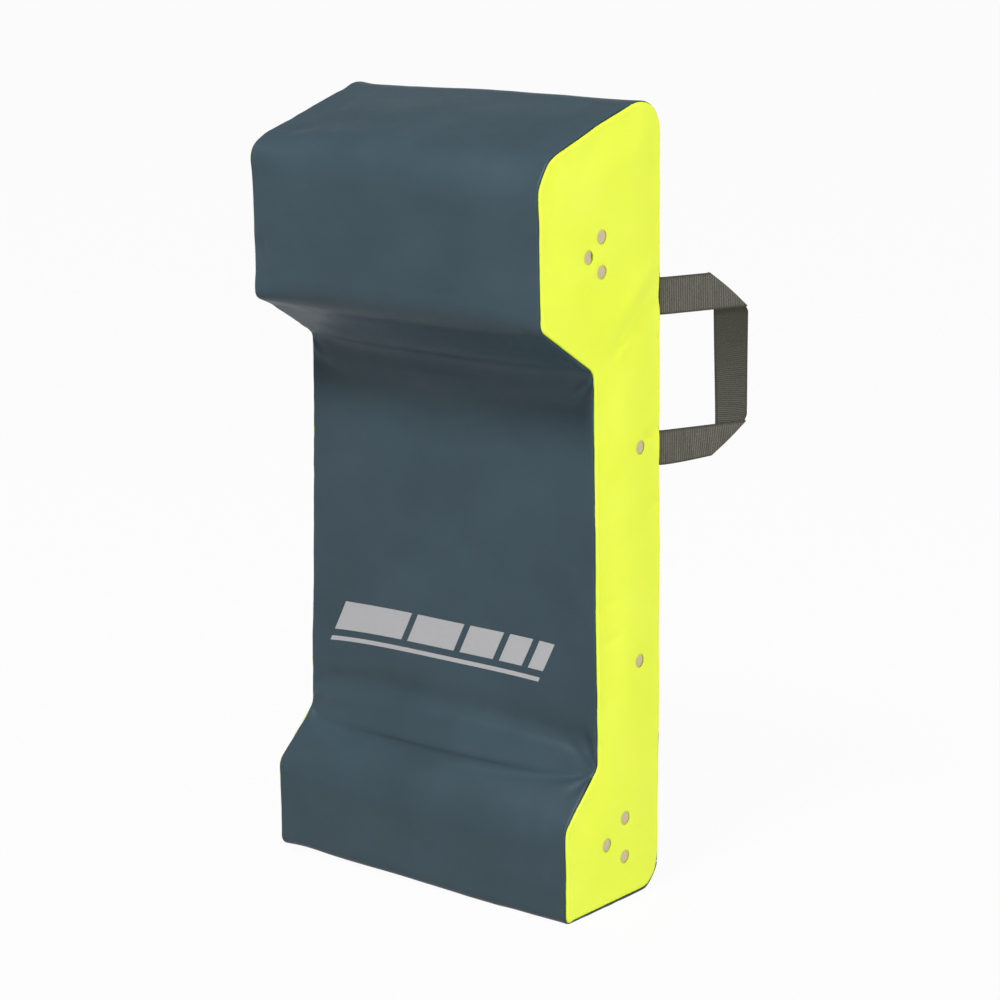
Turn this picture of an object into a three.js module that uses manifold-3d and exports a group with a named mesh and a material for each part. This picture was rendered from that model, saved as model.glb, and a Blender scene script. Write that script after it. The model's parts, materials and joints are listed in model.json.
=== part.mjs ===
// A tackle shield: shaped foam in a sewn cover of coated fabric, with a zip down the back
// and a webbing handle caught in each back corner seam.
// Millimetres, +Z up. The front faces -Y, and the origin is the middle of the standing face.

import * as THREE from "three";
import { mergeVertices } from "three/addons/utils/BufferGeometryUtils.js";
import Module from "manifold-3d";

const wasm = await Module();
wasm.setup();

// Whole shield
const SHIELD_WIDTH = 376;
const SHIELD_HEIGHT = 836; // to the back top corner before it is rounded, which ends 13 lower
const GAP = 0.3; // between pieces that touch on the real shield

// Top slope: depths are forward of the back face, drops are below the back top corner
const CREST_DEPTH = 112;
const CREST_DROP = 30;
const FRONT_TOP_DROP = 60;

// Upper bolster
const UPPER_BOLSTER_DEPTH = 203;
const UPPER_BOLSTER_HEIGHT = 159;
const UPPER_FOOT_SETBACK = 4; // how much the bolster's front face leans back at its foot
const UPPER_FLANK_DROP = 54; // from the foot of that face down to the recess

// Recess, which is deeper from the back at its top
const RECESS_DEPTH = 114;
const RECESS_LEAN = 8;

// Lower bolster
const LOWER_BOLSTER_DEPTH = 160;
const LOWER_BOLSTER_HEIGHT = 102;
const LOWER_FLANK_RISE = 52;

// Corner radii of the outline at the seams, and of the slack cover between them
const BACK_TOP_RADIUS = 40;
const CREST_RADIUS = 300;
const FRONT_TOP_RADIUS = 35;
const UPPER_FOOT_RADIUS = 10;
const RECESS_RADIUS = 12;
const RECESS_SLACK_RADIUS = 46;
const LOWER_TOP_RADIUS = 20;
const FRONT_BOTTOM_RADIUS = 10;
const BACK_BOTTOM_RADIUS = 25;
const CROWN = 2.5; // how far the foam pushes the cover out between the seams

// Cover
const COVER_THICKNESS = 1.2;
const VENT_DIAMETER = 14;

// Vents in the side panels: each trio has two vents one above the other and one in front
const UPPER_TRIO = { depth: 103, drop: 155.5, rise: 35, forward: 21 };
const LOWER_TRIO = { depth: 62, height: 69, rise: 42, forward: 31 };
const MIDDLE_VENT_DEPTH = 38;
const MIDDLE_VENT_SPACING = 224;
const MIDDLE_VENT_LIFT = 5.5; // of the pair above the middle of the recess

// Foam
const BACK_BOARD_THICKNESS = 28;

// Webbing handles
const WEBBING_WIDTH = 38;
const WEBBING_THICKNESS = 2;
const HANDLE_HEIGHT = 193;
const HANDLE_DROP = 289.5; // from the back top corner to the handle's middle
const HANDLE_REACH = 98;
const HANDLE_SPREAD_DEG = 25; // outwards from straight back
const FOLD_RUN = 45; // of the slanted fold along the leg of the handle
const TAIL_LENGTH = 25; // sewn down inside the cover
const HINGE_STANDOFF = 0.6; // of the line where the handle bends, outside the side face
const TAIL_SLANT_DEG = 45;

// Zip
const ZIP_MARGIN = 60; // from each end of the zip to the end of the back seam
const CHAIN_WIDTH = 8;
const CHAIN_THICKNESS = 2.6;
const TAPE_WIDTH = 14;
const TAPE_THICKNESS = 0.8;
const TAPE_END = 12; // of the tape past each end of the chain
const ZIP_REVEAL = 2.5; // between the chain and the edge of the cover
const STOP_HEIGHT = 5;
const STOP_THICKNESS = 3.2;

// Zip slider, with the bridge that holds the pull tab
const SLIDER_LENGTH = 24;
const SLIDER_WIDTH = 13;
const SLIDER_NOSE_WIDTH = 9;
const SLIDER_PLATE = 1.6;
const FLANGE_THICKNESS = 1.2;
const BRIDGE_WIDTH = 2;
const BRIDGE_BAR = 1.2;
const BRIDGE_REACH = 3; // of each bridge leg from the tab's crossbar

// Pull tab
const TAB_LENGTH = 34;
const TAB_WIDTH = 9;
const TAB_THICKNESS = 1.6;
const TAB_EYE_WIDTH = 4.4;
const TAB_EYE_LENGTH = 6.5;
const TAB_RIM = 0.8; // from the crossbar's axis to its edges

// Steps of the round stretches
const ARC_STEPS = 6;
const CREST_STEPS = 3;
const VENT_STEPS = 10; // for each half of a vent
const COVER_STATIONS = 10; // across the width

const LAP = 0.2; // by which joined solids reach into each other
const OVERRUN = 60; // by which cutting solids pass what they cut

// Places that follow from the sizes above
const halfWidth = SHIELD_WIDTH / 2;
const backY = LOWER_BOLSTER_DEPTH / 2;
const liningX = halfWidth - COVER_THICKNESS - GAP; // where the foam and the other panels end
const crestHeight = SHIELD_HEIGHT - CREST_DROP;
const frontTopHeight = SHIELD_HEIGHT - FRONT_TOP_DROP;
const upperFootHeight = frontTopHeight - UPPER_BOLSTER_HEIGHT;
const recessTopHeight = upperFootHeight - UPPER_FLANK_DROP;
const recessBottomHeight = LOWER_BOLSTER_HEIGHT + LOWER_FLANK_RISE;
const recessMiddleHeight = (recessTopHeight + recessBottomHeight) / 2;
const handleTop = SHIELD_HEIGHT - HANDLE_DROP + HANDLE_HEIGHT / 2;
const handleBottom = handleTop - HANDLE_HEIGHT;
const tapeFaceY = backY - COVER_THICKNESS - GAP;
const chainFaceY = tapeFaceY - TAPE_THICKNESS + CHAIN_THICKNESS;
const halfChain = CHAIN_WIDTH / 2;
const zipOpening = halfChain + ZIP_REVEAL;
const crossbarReach = Math.hypot(TAB_RIM, TAB_THICKNESS / 2); // of its corners as the tab swings

// Corners of the outline, from the top of the back face over the front to the foot of the back face.
// slack is the radius half way between the seams, and crowned says whether the foam pushes out there.
const OUTLINE = [
  { depth: 0, height: SHIELD_HEIGHT, radius: BACK_TOP_RADIUS },
  { depth: CREST_DEPTH, height: crestHeight, radius: CREST_RADIUS, steps: CREST_STEPS, crowned: true },
  { depth: UPPER_BOLSTER_DEPTH, height: frontTopHeight, radius: FRONT_TOP_RADIUS, crowned: true },
  {
    depth: UPPER_BOLSTER_DEPTH - UPPER_FOOT_SETBACK,
    height: upperFootHeight,
    radius: UPPER_FOOT_RADIUS,
    crowned: true,
  },
  { depth: RECESS_DEPTH, height: recessTopHeight, radius: RECESS_RADIUS, slack: RECESS_SLACK_RADIUS },
  {
    depth: RECESS_DEPTH - RECESS_LEAN,
    height: recessBottomHeight,
    radius: RECESS_RADIUS,
    slack: RECESS_SLACK_RADIUS,
  },
  { depth: LOWER_BOLSTER_DEPTH, height: LOWER_BOLSTER_HEIGHT, radius: LOWER_TOP_RADIUS, crowned: true },
  { depth: LOWER_BOLSTER_DEPTH, height: 0, radius: FRONT_BOTTOM_RADIUS },
  { depth: 0, height: 0, radius: BACK_BOTTOM_RADIUS },
];

const materials = {
  slateCover: material(0x46565f, 0.45, 0),
  neonCover: material(0xe9fb3c, 0.5, 0),
  foam: material(0xcdb8a0, 0.95, 0),
  webbing: material(0x5d5c54, 0.9, 0),
  zipTape: material(0x202326, 0.9, 0),
  zipChain: material(0x17191b, 0.5, 0),
  zipMetal: material(0x8b8f93, 0.35, 0.9),
};

function material(color, roughness, metalness) {
  return new THREE.MeshStandardMaterial({ color, roughness, metalness });
}

function piece(name, geometry, look) {
  const mesh = new THREE.Mesh(geometry, look);
  mesh.name = name;
  return mesh;
}

// A group whose children are drawn with local X along world Y and local Y along world Z,
// so that an outline of depth and height is extruded across the shield.
function profileGroup(...children) {
  const group = new THREE.Group();
  group.rotation.set(Math.PI / 2, Math.PI / 2, 0);
  return group.add(...children);
}

// A group whose children are drawn upright, local Y along world Z, and extruded towards -Y.
function uprightGroup(...children) {
  const group = new THREE.Group();
  group.rotation.x = Math.PI / 2;
  return group.add(...children);
}

function profilePoint({ depth, height }) {
  return new THREE.Vector2(backY - depth, height);
}

// The arc that rounds one corner of an outline, limited by half of each neighbouring edge.
function roundedCorner(before, corner, after, radius, steps) {
  const back = before.clone().sub(corner);
  const on = after.clone().sub(corner);
  const room = Math.min(back.length(), on.length()) / 2;
  back.normalize();
  on.normalize();
  const halfAngle = Math.acos(back.dot(on)) / 2;
  const reach = Math.min(radius / Math.tan(halfAngle), room);
  const toCentre = back.clone().add(on).normalize();
  const centre = corner.clone().addScaledVector(toCentre, reach / Math.cos(halfAngle));
  const start = corner.clone().addScaledVector(back, reach);
  const turn = Math.sign(on.cross(back)) * (Math.PI - 2 * halfAngle);
  return Array.from({ length: steps + 1 }, (_, i) =>
    start.clone().rotateAround(centre, (turn * i) / steps),
  );
}

function edgeNormal(from, to) {
  return new THREE.Vector2(to.y - from.y, from.x - to.x).normalize();
}

// The line moved outwards, to the right of its direction, by one distance for each point.
function offsetLine(points, distances, closed) {
  const count = points.length;
  return points.map((point, i) => {
    const normals = [];
    if (closed || i > 0) normals.push(edgeNormal(points[(i + count - 1) % count], point));
    if (closed || i < count - 1) normals.push(edgeNormal(point, points[(i + 1) % count]));
    const mitre = new THREE.Vector2();
    normals.forEach((normal) => mitre.add(normal));
    mitre.normalize();
    return point.clone().addScaledVector(mitre, distances[i] / mitre.dot(normals[0]));
  });
}

// The cover's outer line at a share of the way from the side seams (0) to the middle (1).
function coverLine(share) {
  const corners = OUTLINE.map(profilePoint);
  const points = [];
  const distances = [];
  OUTLINE.forEach(({ radius, slack = radius, steps = ARC_STEPS, crowned }, i) => {
    const before = corners.at(i - 1);
    const after = corners[(i + 1) % corners.length];
    const arc = roundedCorner(before, corners[i], after, THREE.MathUtils.lerp(radius, slack, share), steps);
    points.push(...arc);
    distances.push(...arc.map(() => (crowned ? CROWN * share : 0)));
  });
  return offsetLine(points, distances, false);
}

function insetClosed(points, distance) {
  return offsetLine(points, points.map(() => -distance), true);
}

function extrusion(shape, depth, from = 0) {
  const geometry = new THREE.ExtrudeGeometry(shape, { depth, bevelEnabled: false, curveSegments: VENT_STEPS });
  return geometry.translate(0, 0, from);
}

function rectangle(left, bottom, right, top) {
  return new THREE.Shape([
    new THREE.Vector2(left, bottom),
    new THREE.Vector2(right, bottom),
    new THREE.Vector2(right, top),
    new THREE.Vector2(left, top),
  ]);
}

// A box between two corners, drawn in whichever group it is used in.
function block(low, high) {
  return extrusion(rectangle(low[0], low[1], high[0], high[1]), high[2] - low[2], low[2]);
}

function toSolid(geometry) {
  const bare = new THREE.BufferGeometry().setAttribute("position", geometry.getAttribute("position"));
  if (geometry.index) bare.setIndex(geometry.index);
  const merged = mergeVertices(bare);
  return new wasm.Manifold(
    new wasm.Mesh({
      numProp: 3,
      vertProperties: merged.getAttribute("position").array,
      triVerts: new Uint32Array(merged.index.array),
    }),
  );
}

function toGeometry(solid) {
  const { vertProperties, triVerts } = solid.getMesh();
  const indexed = new THREE.BufferGeometry()
    .setAttribute("position", new THREE.BufferAttribute(new Float32Array(vertProperties), 3))
    .setIndex(new THREE.BufferAttribute(new Uint32Array(triVerts), 1));
  const geometry = indexed.toNonIndexed();
  geometry.computeVertexNormals();
  return geometry;
}

function joined(...geometries) {
  return toGeometry(geometries.map(toSolid).reduce((sum, solid) => sum.add(solid)));
}

function cutFrom(geometry, ...cutters) {
  return toGeometry(cutters.map(toSolid).reduce((rest, cutter) => rest.subtract(cutter), toSolid(geometry)));
}

function commonTo(a, b) {
  return toGeometry(toSolid(a).intersect(toSolid(b)));
}

// A closed skin between two grids of points, each a list of rows of Vector3 across the shield.
function skinGeometry(outer, inner) {
  const rows = outer.length;
  const columns = outer[0].length;
  const corners = [];
  const quad = (a, b, c, d) => corners.push(a, b, c, a, c, d);
  for (let r = 0; r + 1 < rows; r += 1) {
    for (let c = 0; c + 1 < columns; c += 1) {
      quad(outer[r][c], outer[r][c + 1], outer[r + 1][c + 1], outer[r + 1][c]);
      quad(inner[r][c], inner[r + 1][c], inner[r + 1][c + 1], inner[r][c + 1]);
    }
    quad(outer[r][0], outer[r + 1][0], inner[r + 1][0], inner[r][0]);
    const end = columns - 1;
    quad(outer[r + 1][end], outer[r][end], inner[r][end], inner[r + 1][end]);
  }
  for (let c = 0; c + 1 < columns; c += 1) {
    quad(outer[0][c + 1], outer[0][c], inner[0][c], inner[0][c + 1]);
    const end = rows - 1;
    quad(outer[end][c], outer[end][c + 1], inner[end][c + 1], inner[end][c]);
  }
  const geometry = new THREE.BufferGeometry().setFromPoints(corners);
  geometry.computeVertexNormals();
  return geometry;
}

// The dark strip that runs from the back over the top, down the front and under the base.
function frontCover() {
  const outer = [];
  const inner = [];
  for (let station = 0; station <= COVER_STATIONS; station += 1) {
    const across = Math.sin((Math.PI / 2) * ((2 * station) / COVER_STATIONS - 1));
    const outerLine = coverLine(1 - across ** 4);
    const innerLine = offsetLine(outerLine, outerLine.map(() => -COVER_THICKNESS), false);
    const place = ({ x, y }) => new THREE.Vector3(across * liningX, x, y);
    outer.push(outerLine.map(place));
    inner.push(innerLine.map(place));
  }
  return piece("front_cover", skinGeometry(outer, inner), materials.slateCover);
}

function trioCentres({ depth, height, rise, forward }) {
  return [
    { depth, height: height + rise / 2 },
    { depth: depth + forward, height },
    { depth, height: height - rise / 2 },
  ];
}

function ventCentres() {
  const middle = recessMiddleHeight + MIDDLE_VENT_LIFT;
  return [
    ...trioCentres({ ...UPPER_TRIO, height: SHIELD_HEIGHT - UPPER_TRIO.drop }),
    { depth: MIDDLE_VENT_DEPTH, height: middle + MIDDLE_VENT_SPACING / 2 },
    { depth: MIDDLE_VENT_DEPTH, height: middle - MIDDLE_VENT_SPACING / 2 },
    ...trioCentres(LOWER_TRIO),
  ];
}

function sidePanel(side) {
  const shape = new THREE.Shape(coverLine(0));
  for (const centre of ventCentres().map(profilePoint)) {
    shape.holes.push(new THREE.Path().absarc(centre.x, centre.y, VENT_DIAMETER / 2, 0, 2 * Math.PI, true));
  }
  const geometry = extrusion(shape, COVER_THICKNESS, halfWidth - COVER_THICKNESS);
  return profileGroup(piece(`side_panel_${side}`, geometry, materials.neonCover));
}

// Heights of the handle's two legs, each from its bottom edge to its top edge.
function legSpans() {
  return {
    upper: [handleTop - WEBBING_WIDTH, handleTop],
    lower: [handleBottom, handleBottom + WEBBING_WIDTH],
  };
}

// Where the handle's tail passes the corner, in plan: its bend inside the cover and its bend outside.
function tailRoute() {
  const slant = THREE.MathUtils.degToRad(TAIL_SLANT_DEG);
  const acrossSlant = WEBBING_THICKNESS / 2 / Math.sin(slant);
  const hingeX = halfWidth + HINGE_STANDOFF;
  const passX = liningX - acrossSlant; // where its middle passes the back face
  const hingeY = backY + (hingeX - passX) * Math.tan(slant);
  const innerY = tapeFaceY - WEBBING_THICKNESS / 2;
  const innerX = hingeX - (hingeY - innerY) / Math.tan(slant);
  return { slant, hingeX, hingeY, innerX, innerY };
}

// Half of the back of the cover, with the zip's opening and a notch for each end of the handle.
function backPanel(side) {
  const line = coverLine(0);
  const top = line[0].y - GAP;
  const bottom = line.at(-1).y + GAP;
  const { slant, innerX } = tailRoute();
  const notchX = innerX - (WEBBING_THICKNESS / 2) * Math.tan(slant / 2) - GAP;
  const { upper, lower } = legSpans();
  const seamX = GAP / 2;
  const [zipBottom, zipTop] = zipEnds();
  const notches = [lower, upper].flatMap(([low, high]) => [
    [liningX, low - GAP],
    [notchX, low - GAP],
    [notchX, high + GAP],
    [liningX, high + GAP],
  ]);
  const corners = [
    [seamX, bottom],
    [liningX, bottom],
    ...notches,
    [liningX, top],
    [seamX, top],
    [seamX, zipTop],
    [zipOpening, zipTop],
    [zipOpening, zipBottom],
    [seamX, zipBottom],
  ];
  const shape = new THREE.Shape(corners.map(([x, z]) => new THREE.Vector2(x, z)));
  return uprightGroup(piece(`back_panel_${side}`, extrusion(shape, COVER_THICKNESS, -backY), materials.slateCover));
}

// Foam, as blocks glued to each other

function foamGeometry() {
  const corners = OUTLINE.map(profilePoint);
  const line = OUTLINE.flatMap(({ radius, slack, steps = ARC_STEPS }, i) => {
    if (slack) return [corners[i]];
    return roundedCorner(corners.at(i - 1), corners[i], corners[(i + 1) % corners.length], radius, steps);
  });
  const shape = new THREE.Shape(insetClosed(line, COVER_THICKNESS + GAP));
  return extrusion(shape, 2 * liningX, -liningX);
}

// A cutter between two lines that run up the shield, given where each is at the base and how it leans.
function slice(back, front, low, high) {
  const shape = new THREE.Shape([
    new THREE.Vector2(back.at(low), low),
    new THREE.Vector2(back.at(high), high),
    new THREE.Vector2(front.at(high), high),
    new THREE.Vector2(front.at(low), low),
  ]);
  return extrusion(shape, 2 * halfWidth, -halfWidth);
}

function foamBlocks() {
  const lean = RECESS_LEAN / (recessTopHeight - recessBottomHeight);
  const recessY = backY - RECESS_DEPTH + COVER_THICKNESS + GAP;
  const upright = (y) => ({ at: () => y });
  const leaning = (forward) => ({ at: (height) => recessY - forward - lean * (height - recessTopHeight) });
  const boardFace = backY - BACK_BOARD_THICKNESS;
  const bottom = -OVERRUN;
  const top = SHIELD_HEIGHT + OVERRUN;
  const farBack = upright(backY + OVERRUN);
  const farFront = upright(backY - UPPER_BOLSTER_DEPTH - LOWER_BOLSTER_DEPTH);
  const slabFace = leaning(GAP / 2);
  const bolsterFace = leaning(GAP / 2 + GAP);
  const foam = foamGeometry();
  const board = commonTo(foam, slice(farBack, upright(boardFace), bottom, top));
  const slab = commonTo(foam, slice(upright(boardFace - GAP), slabFace, bottom, top));
  const upper = commonTo(foam, slice(bolsterFace, farFront, recessMiddleHeight, top));
  const lower = commonTo(foam, slice(bolsterFace, farFront, bottom, recessMiddleHeight));
  return profileGroup(
    piece("foam_back_board", cutFrom(board, zipRelief(), ...tailPockets()), materials.foam),
    piece("foam_body_slab", slab, materials.foam),
    piece("foam_upper_bolster", upper, materials.foam),
    piece("foam_lower_bolster", lower, materials.foam),
  );
}

// The room for the zip and its tapes in the back of the foam
function zipRelief() {
  const reach = halfChain + GAP + TAPE_WIDTH + GAP;
  const [low, high] = zipEnds();
  const past = TAPE_END + GAP;
  return block([tapeFaceY - TAPE_THICKNESS - GAP, low - past, -reach], [backY, high + past, reach]);
}

// The four rooms for the sewn-in ends of the handles
function tailPockets() {
  const { innerX } = tailRoute();
  const floor = tapeFaceY - WEBBING_THICKNESS - GAP;
  const reach = innerX - TAIL_LENGTH - GAP;
  return Object.values(legSpans()).flatMap(([low, high]) => [
    block([floor, low - GAP, reach], [backY, high + GAP, halfWidth]),
    block([floor, low - GAP, -halfWidth], [backY, high + GAP, -reach]),
  ]);
}

// Handles

// The end of the handle that is sewn in: it lies on the foam, bends and leaves at the corner.
function handleTail(name, [low, high]) {
  const { slant, hingeX, hingeY, innerX, innerY } = tailRoute();
  const half = WEBBING_THICKNESS / 2;
  const tipBack = 2 * half + GAP; // from the line where the handle bends
  const tip = new THREE.Vector2(hingeX - tipBack * Math.cos(slant), hingeY - tipBack * Math.sin(slant));
  const along = new THREE.Vector2(Math.cos(slant), Math.sin(slant));
  const beside = new THREE.Vector2(-along.y, along.x).multiplyScalar(half);
  const mitre = half * Math.tan(slant / 2);
  const shape = new THREE.Shape();
  shape.moveTo(innerX - TAIL_LENGTH, innerY - half);
  shape.lineTo(innerX + mitre, innerY - half);
  shape.lineTo(tip.x - beside.x, tip.y - beside.y);
  shape.absarc(tip.x, tip.y, half, slant - Math.PI / 2, slant + Math.PI / 2, false);
  shape.lineTo(innerX - mitre, innerY + half);
  shape.lineTo(innerX - TAIL_LENGTH, innerY + half);
  return piece(name, extrusion(shape, high - low, low), materials.webbing);
}

// One leg of the handle, drawn as reach and height, with the slanted fold at its end.
function handleLeg([low, high], foldedUp) {
  const straight = HANDLE_REACH - FOLD_RUN;
  const shape = new THREE.Shape([
    new THREE.Vector2(0, low),
    new THREE.Vector2(foldedUp ? straight : HANDLE_REACH, low),
    new THREE.Vector2(foldedUp ? HANDLE_REACH : straight, high),
    new THREE.Vector2(0, high),
  ]);
  return extrusion(shape, WEBBING_THICKNESS, -WEBBING_THICKNESS / 2);
}

// The upright grip, which lies behind both legs where the webbing is folded.
function handleGrip() {
  const inner = HANDLE_REACH - WEBBING_WIDTH;
  const foldStep = (WEBBING_WIDTH * (FOLD_RUN - WEBBING_WIDTH)) / FOLD_RUN;
  const shape = new THREE.Shape([
    new THREE.Vector2(inner, handleBottom + foldStep),
    new THREE.Vector2(HANDLE_REACH, handleBottom + WEBBING_WIDTH),
    new THREE.Vector2(HANDLE_REACH, handleTop - WEBBING_WIDTH),
    new THREE.Vector2(inner, handleTop - foldStep),
  ]);
  return extrusion(shape, WEBBING_THICKNESS + LAP, (-WEBBING_THICKNESS * 3) / 2);
}

// The rounded start of a leg, where the webbing bends at the seam.
function legRoot([low, high]) {
  const root = new THREE.CylinderGeometry(WEBBING_THICKNESS / 2, WEBBING_THICKNESS / 2, high - low, 2 * VENT_STEPS);
  return root.translate(0, (low + high) / 2, 0);
}

function handleStrap(name) {
  const { upper, lower } = legSpans();
  const geometry = joined(
    handleLeg(upper, false),
    handleLeg(lower, true),
    handleGrip(),
    legRoot(upper),
    legRoot(lower),
  );
  const { hingeX, hingeY } = tailRoute();
  const turned = new THREE.Group();
  turned.position.set(hingeX, hingeY, 0);
  turned.rotation.z = Math.PI / 2 - THREE.MathUtils.degToRad(HANDLE_SPREAD_DEG);
  return turned.add(uprightGroup(piece(name, geometry, materials.webbing)));
}

// Zip

// Heights of the zip's ends, stops included, between the ends of the seam down the back
function zipEnds() {
  const line = coverLine(0);
  return [line.at(-1).y + ZIP_MARGIN, line[0].y - ZIP_MARGIN];
}

function chainEnds() {
  const [low, high] = zipEnds();
  return [low + STOP_HEIGHT + GAP, high - STOP_HEIGHT - GAP];
}

function zipTape(side) {
  const [low, high] = zipEnds();
  const near = halfChain + GAP;
  const geometry = block(
    [near, tapeFaceY - TAPE_THICKNESS, low - TAPE_END],
    [near + TAPE_WIDTH, tapeFaceY, high + TAPE_END],
  );
  return piece(`zip_tape_${side}`, geometry, materials.zipTape);
}

function zipChain() {
  const [low, high] = chainEnds();
  const geometry = block([-halfChain, tapeFaceY - TAPE_THICKNESS, low], [halfChain, chainFaceY, high]);
  return piece("zip_chain", geometry, materials.zipChain);
}

function zipStop(name, low) {
  const back = tapeFaceY - TAPE_THICKNESS;
  const geometry = block([-halfChain, back, low], [halfChain, back + STOP_THICKNESS, low + STOP_HEIGHT]);
  return piece(name, geometry, materials.zipMetal);
}

// The slider's places: it rests at the foot of the chain, where the zip is closed.
function sliderPlaces() {
  const plateY = chainFaceY + GAP;
  const faceY = plateY + SLIDER_PLATE;
  const bottom = chainEnds()[0] + GAP;
  return { plateY, faceY, bottom, top: bottom + SLIDER_LENGTH, pivotY: faceY + GAP + crossbarReach };
}

function sliderPivotHeight() {
  const { bottom } = sliderPlaces();
  return bottom + SLIDER_LENGTH / 2;
}

function zipSlider() {
  const { plateY, faceY, bottom, top, pivotY } = sliderPlaces();
  const shape = new THREE.Shape([
    new THREE.Vector2(-SLIDER_NOSE_WIDTH / 2, bottom),
    new THREE.Vector2(SLIDER_NOSE_WIDTH / 2, bottom),
    new THREE.Vector2(SLIDER_WIDTH / 2, (bottom + top) / 2),
    new THREE.Vector2(SLIDER_WIDTH / 2, top),
    new THREE.Vector2(-SLIDER_WIDTH / 2, top),
    new THREE.Vector2(-SLIDER_WIDTH / 2, (bottom + top) / 2),
  ]);
  const plate = extrusion(shape, SLIDER_PLATE).rotateX(Math.PI / 2).translate(0, faceY, 0);
  const flangeNear = halfChain + GAP;
  const flangeLow = tapeFaceY + GAP;
  const flangeMiddle = (bottom + top) / 2;
  const flanges = [1, -1].map((side) => {
    const edges = [side * flangeNear, side * (flangeNear + FLANGE_THICKNESS)].sort((a, b) => a - b);
    return block([edges[0], flangeLow, flangeMiddle], [edges[1], plateY + LAP, top]);
  });
  const barUnder = pivotY + crossbarReach + GAP;
  const legs = [1, -1].map((side) => {
    const edges = [side * BRIDGE_REACH, side * (BRIDGE_REACH + BRIDGE_BAR)].sort((a, b) => a - b);
    const height = sliderPivotHeight();
    return block(
      [-BRIDGE_WIDTH / 2, faceY - LAP, height + edges[0]],
      [BRIDGE_WIDTH / 2, barUnder + BRIDGE_BAR, height + edges[1]],
    );
  });
  const barReach = BRIDGE_REACH + BRIDGE_BAR;
  const bar = block(
    [-BRIDGE_WIDTH / 2, barUnder, sliderPivotHeight() - barReach],
    [BRIDGE_WIDTH / 2, barUnder + BRIDGE_BAR, sliderPivotHeight() + barReach],
  );
  return piece("zip_slider", joined(plate, ...flanges, ...legs, bar), materials.zipMetal);
}

// The tab hangs from a crossbar that passes under the slider's bridge.
function zipPullTab() {
  const { pivotY } = sliderPlaces();
  const pivot = sliderPivotHeight();
  const half = TAB_WIDTH / 2;
  const foot = pivot + TAB_RIM - TAB_LENGTH;
  const shape = new THREE.Shape();
  shape.moveTo(-half, pivot + TAB_RIM);
  shape.lineTo(-half, foot + half);
  shape.absarc(0, foot + half, half, Math.PI, 2 * Math.PI, false);
  shape.lineTo(half, pivot + TAB_RIM);
  const eye = rectangle(
    -TAB_EYE_WIDTH / 2,
    pivot - TAB_RIM - TAB_EYE_LENGTH,
    TAB_EYE_WIDTH / 2,
    pivot - TAB_RIM,
  );
  shape.holes.push(eye);
  const geometry = extrusion(shape, TAB_THICKNESS, -pivotY - TAB_THICKNESS / 2);
  return uprightGroup(piece("zip_pull_tab", geometry, materials.zipMetal));
}

function zipMiddlePieces() {
  const [low, high] = zipEnds();
  return [
    zipChain(),
    zipStop("zip_upper_stop", high - STOP_HEIGHT),
    zipStop("zip_lower_stop", low),
    zipSlider(),
    zipPullTab(),
  ];
}

// Everything that the shield has once on each side, drawn for the right-hand side.
function sidePieces(side) {
  const { upper, lower } = legSpans();
  return new THREE.Group().add(
    sidePanel(side),
    backPanel(side),
    zipTape(side),
    handleTail(`handle_tail_upper_${side}`, upper),
    handleTail(`handle_tail_lower_${side}`, lower),
    handleStrap(`handle_strap_${side}`),
  );
}

const shield = new THREE.Group();
const leftSide = sidePieces("left");
leftSide.scale.x = -1;
shield.add(foamBlocks(), frontCover(), sidePieces("right"), leftSide, ...zipMiddlePieces());

export default shield;
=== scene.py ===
"""Looks of the tackle shield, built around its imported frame.

Metres, +Z up. The front faces -Y, and +X is the side that the photograph shows.
"""

import json
import math
from collections import namedtuple

import bmesh
import bpy
import numpy as np
from mathutils import Matrix, Vector
from mathutils.geometry import delaunay_2d_cdt

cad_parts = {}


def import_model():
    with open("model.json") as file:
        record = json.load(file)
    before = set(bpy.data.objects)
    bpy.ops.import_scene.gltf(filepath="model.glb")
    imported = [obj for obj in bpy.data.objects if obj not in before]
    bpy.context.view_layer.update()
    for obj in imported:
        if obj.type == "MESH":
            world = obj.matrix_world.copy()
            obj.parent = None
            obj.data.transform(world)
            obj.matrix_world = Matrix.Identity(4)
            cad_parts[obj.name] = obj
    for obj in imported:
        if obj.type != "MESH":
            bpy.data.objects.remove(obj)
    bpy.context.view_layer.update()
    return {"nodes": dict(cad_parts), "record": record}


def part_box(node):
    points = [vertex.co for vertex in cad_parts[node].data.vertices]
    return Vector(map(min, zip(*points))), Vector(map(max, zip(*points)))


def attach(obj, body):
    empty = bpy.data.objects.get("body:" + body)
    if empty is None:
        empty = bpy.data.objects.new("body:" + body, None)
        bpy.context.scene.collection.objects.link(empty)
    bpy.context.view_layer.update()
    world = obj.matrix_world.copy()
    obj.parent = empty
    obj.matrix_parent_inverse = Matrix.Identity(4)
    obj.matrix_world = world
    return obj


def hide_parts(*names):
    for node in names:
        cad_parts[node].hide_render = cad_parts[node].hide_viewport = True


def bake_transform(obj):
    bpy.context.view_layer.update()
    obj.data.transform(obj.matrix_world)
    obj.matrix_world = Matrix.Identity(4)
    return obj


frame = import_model()

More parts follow.
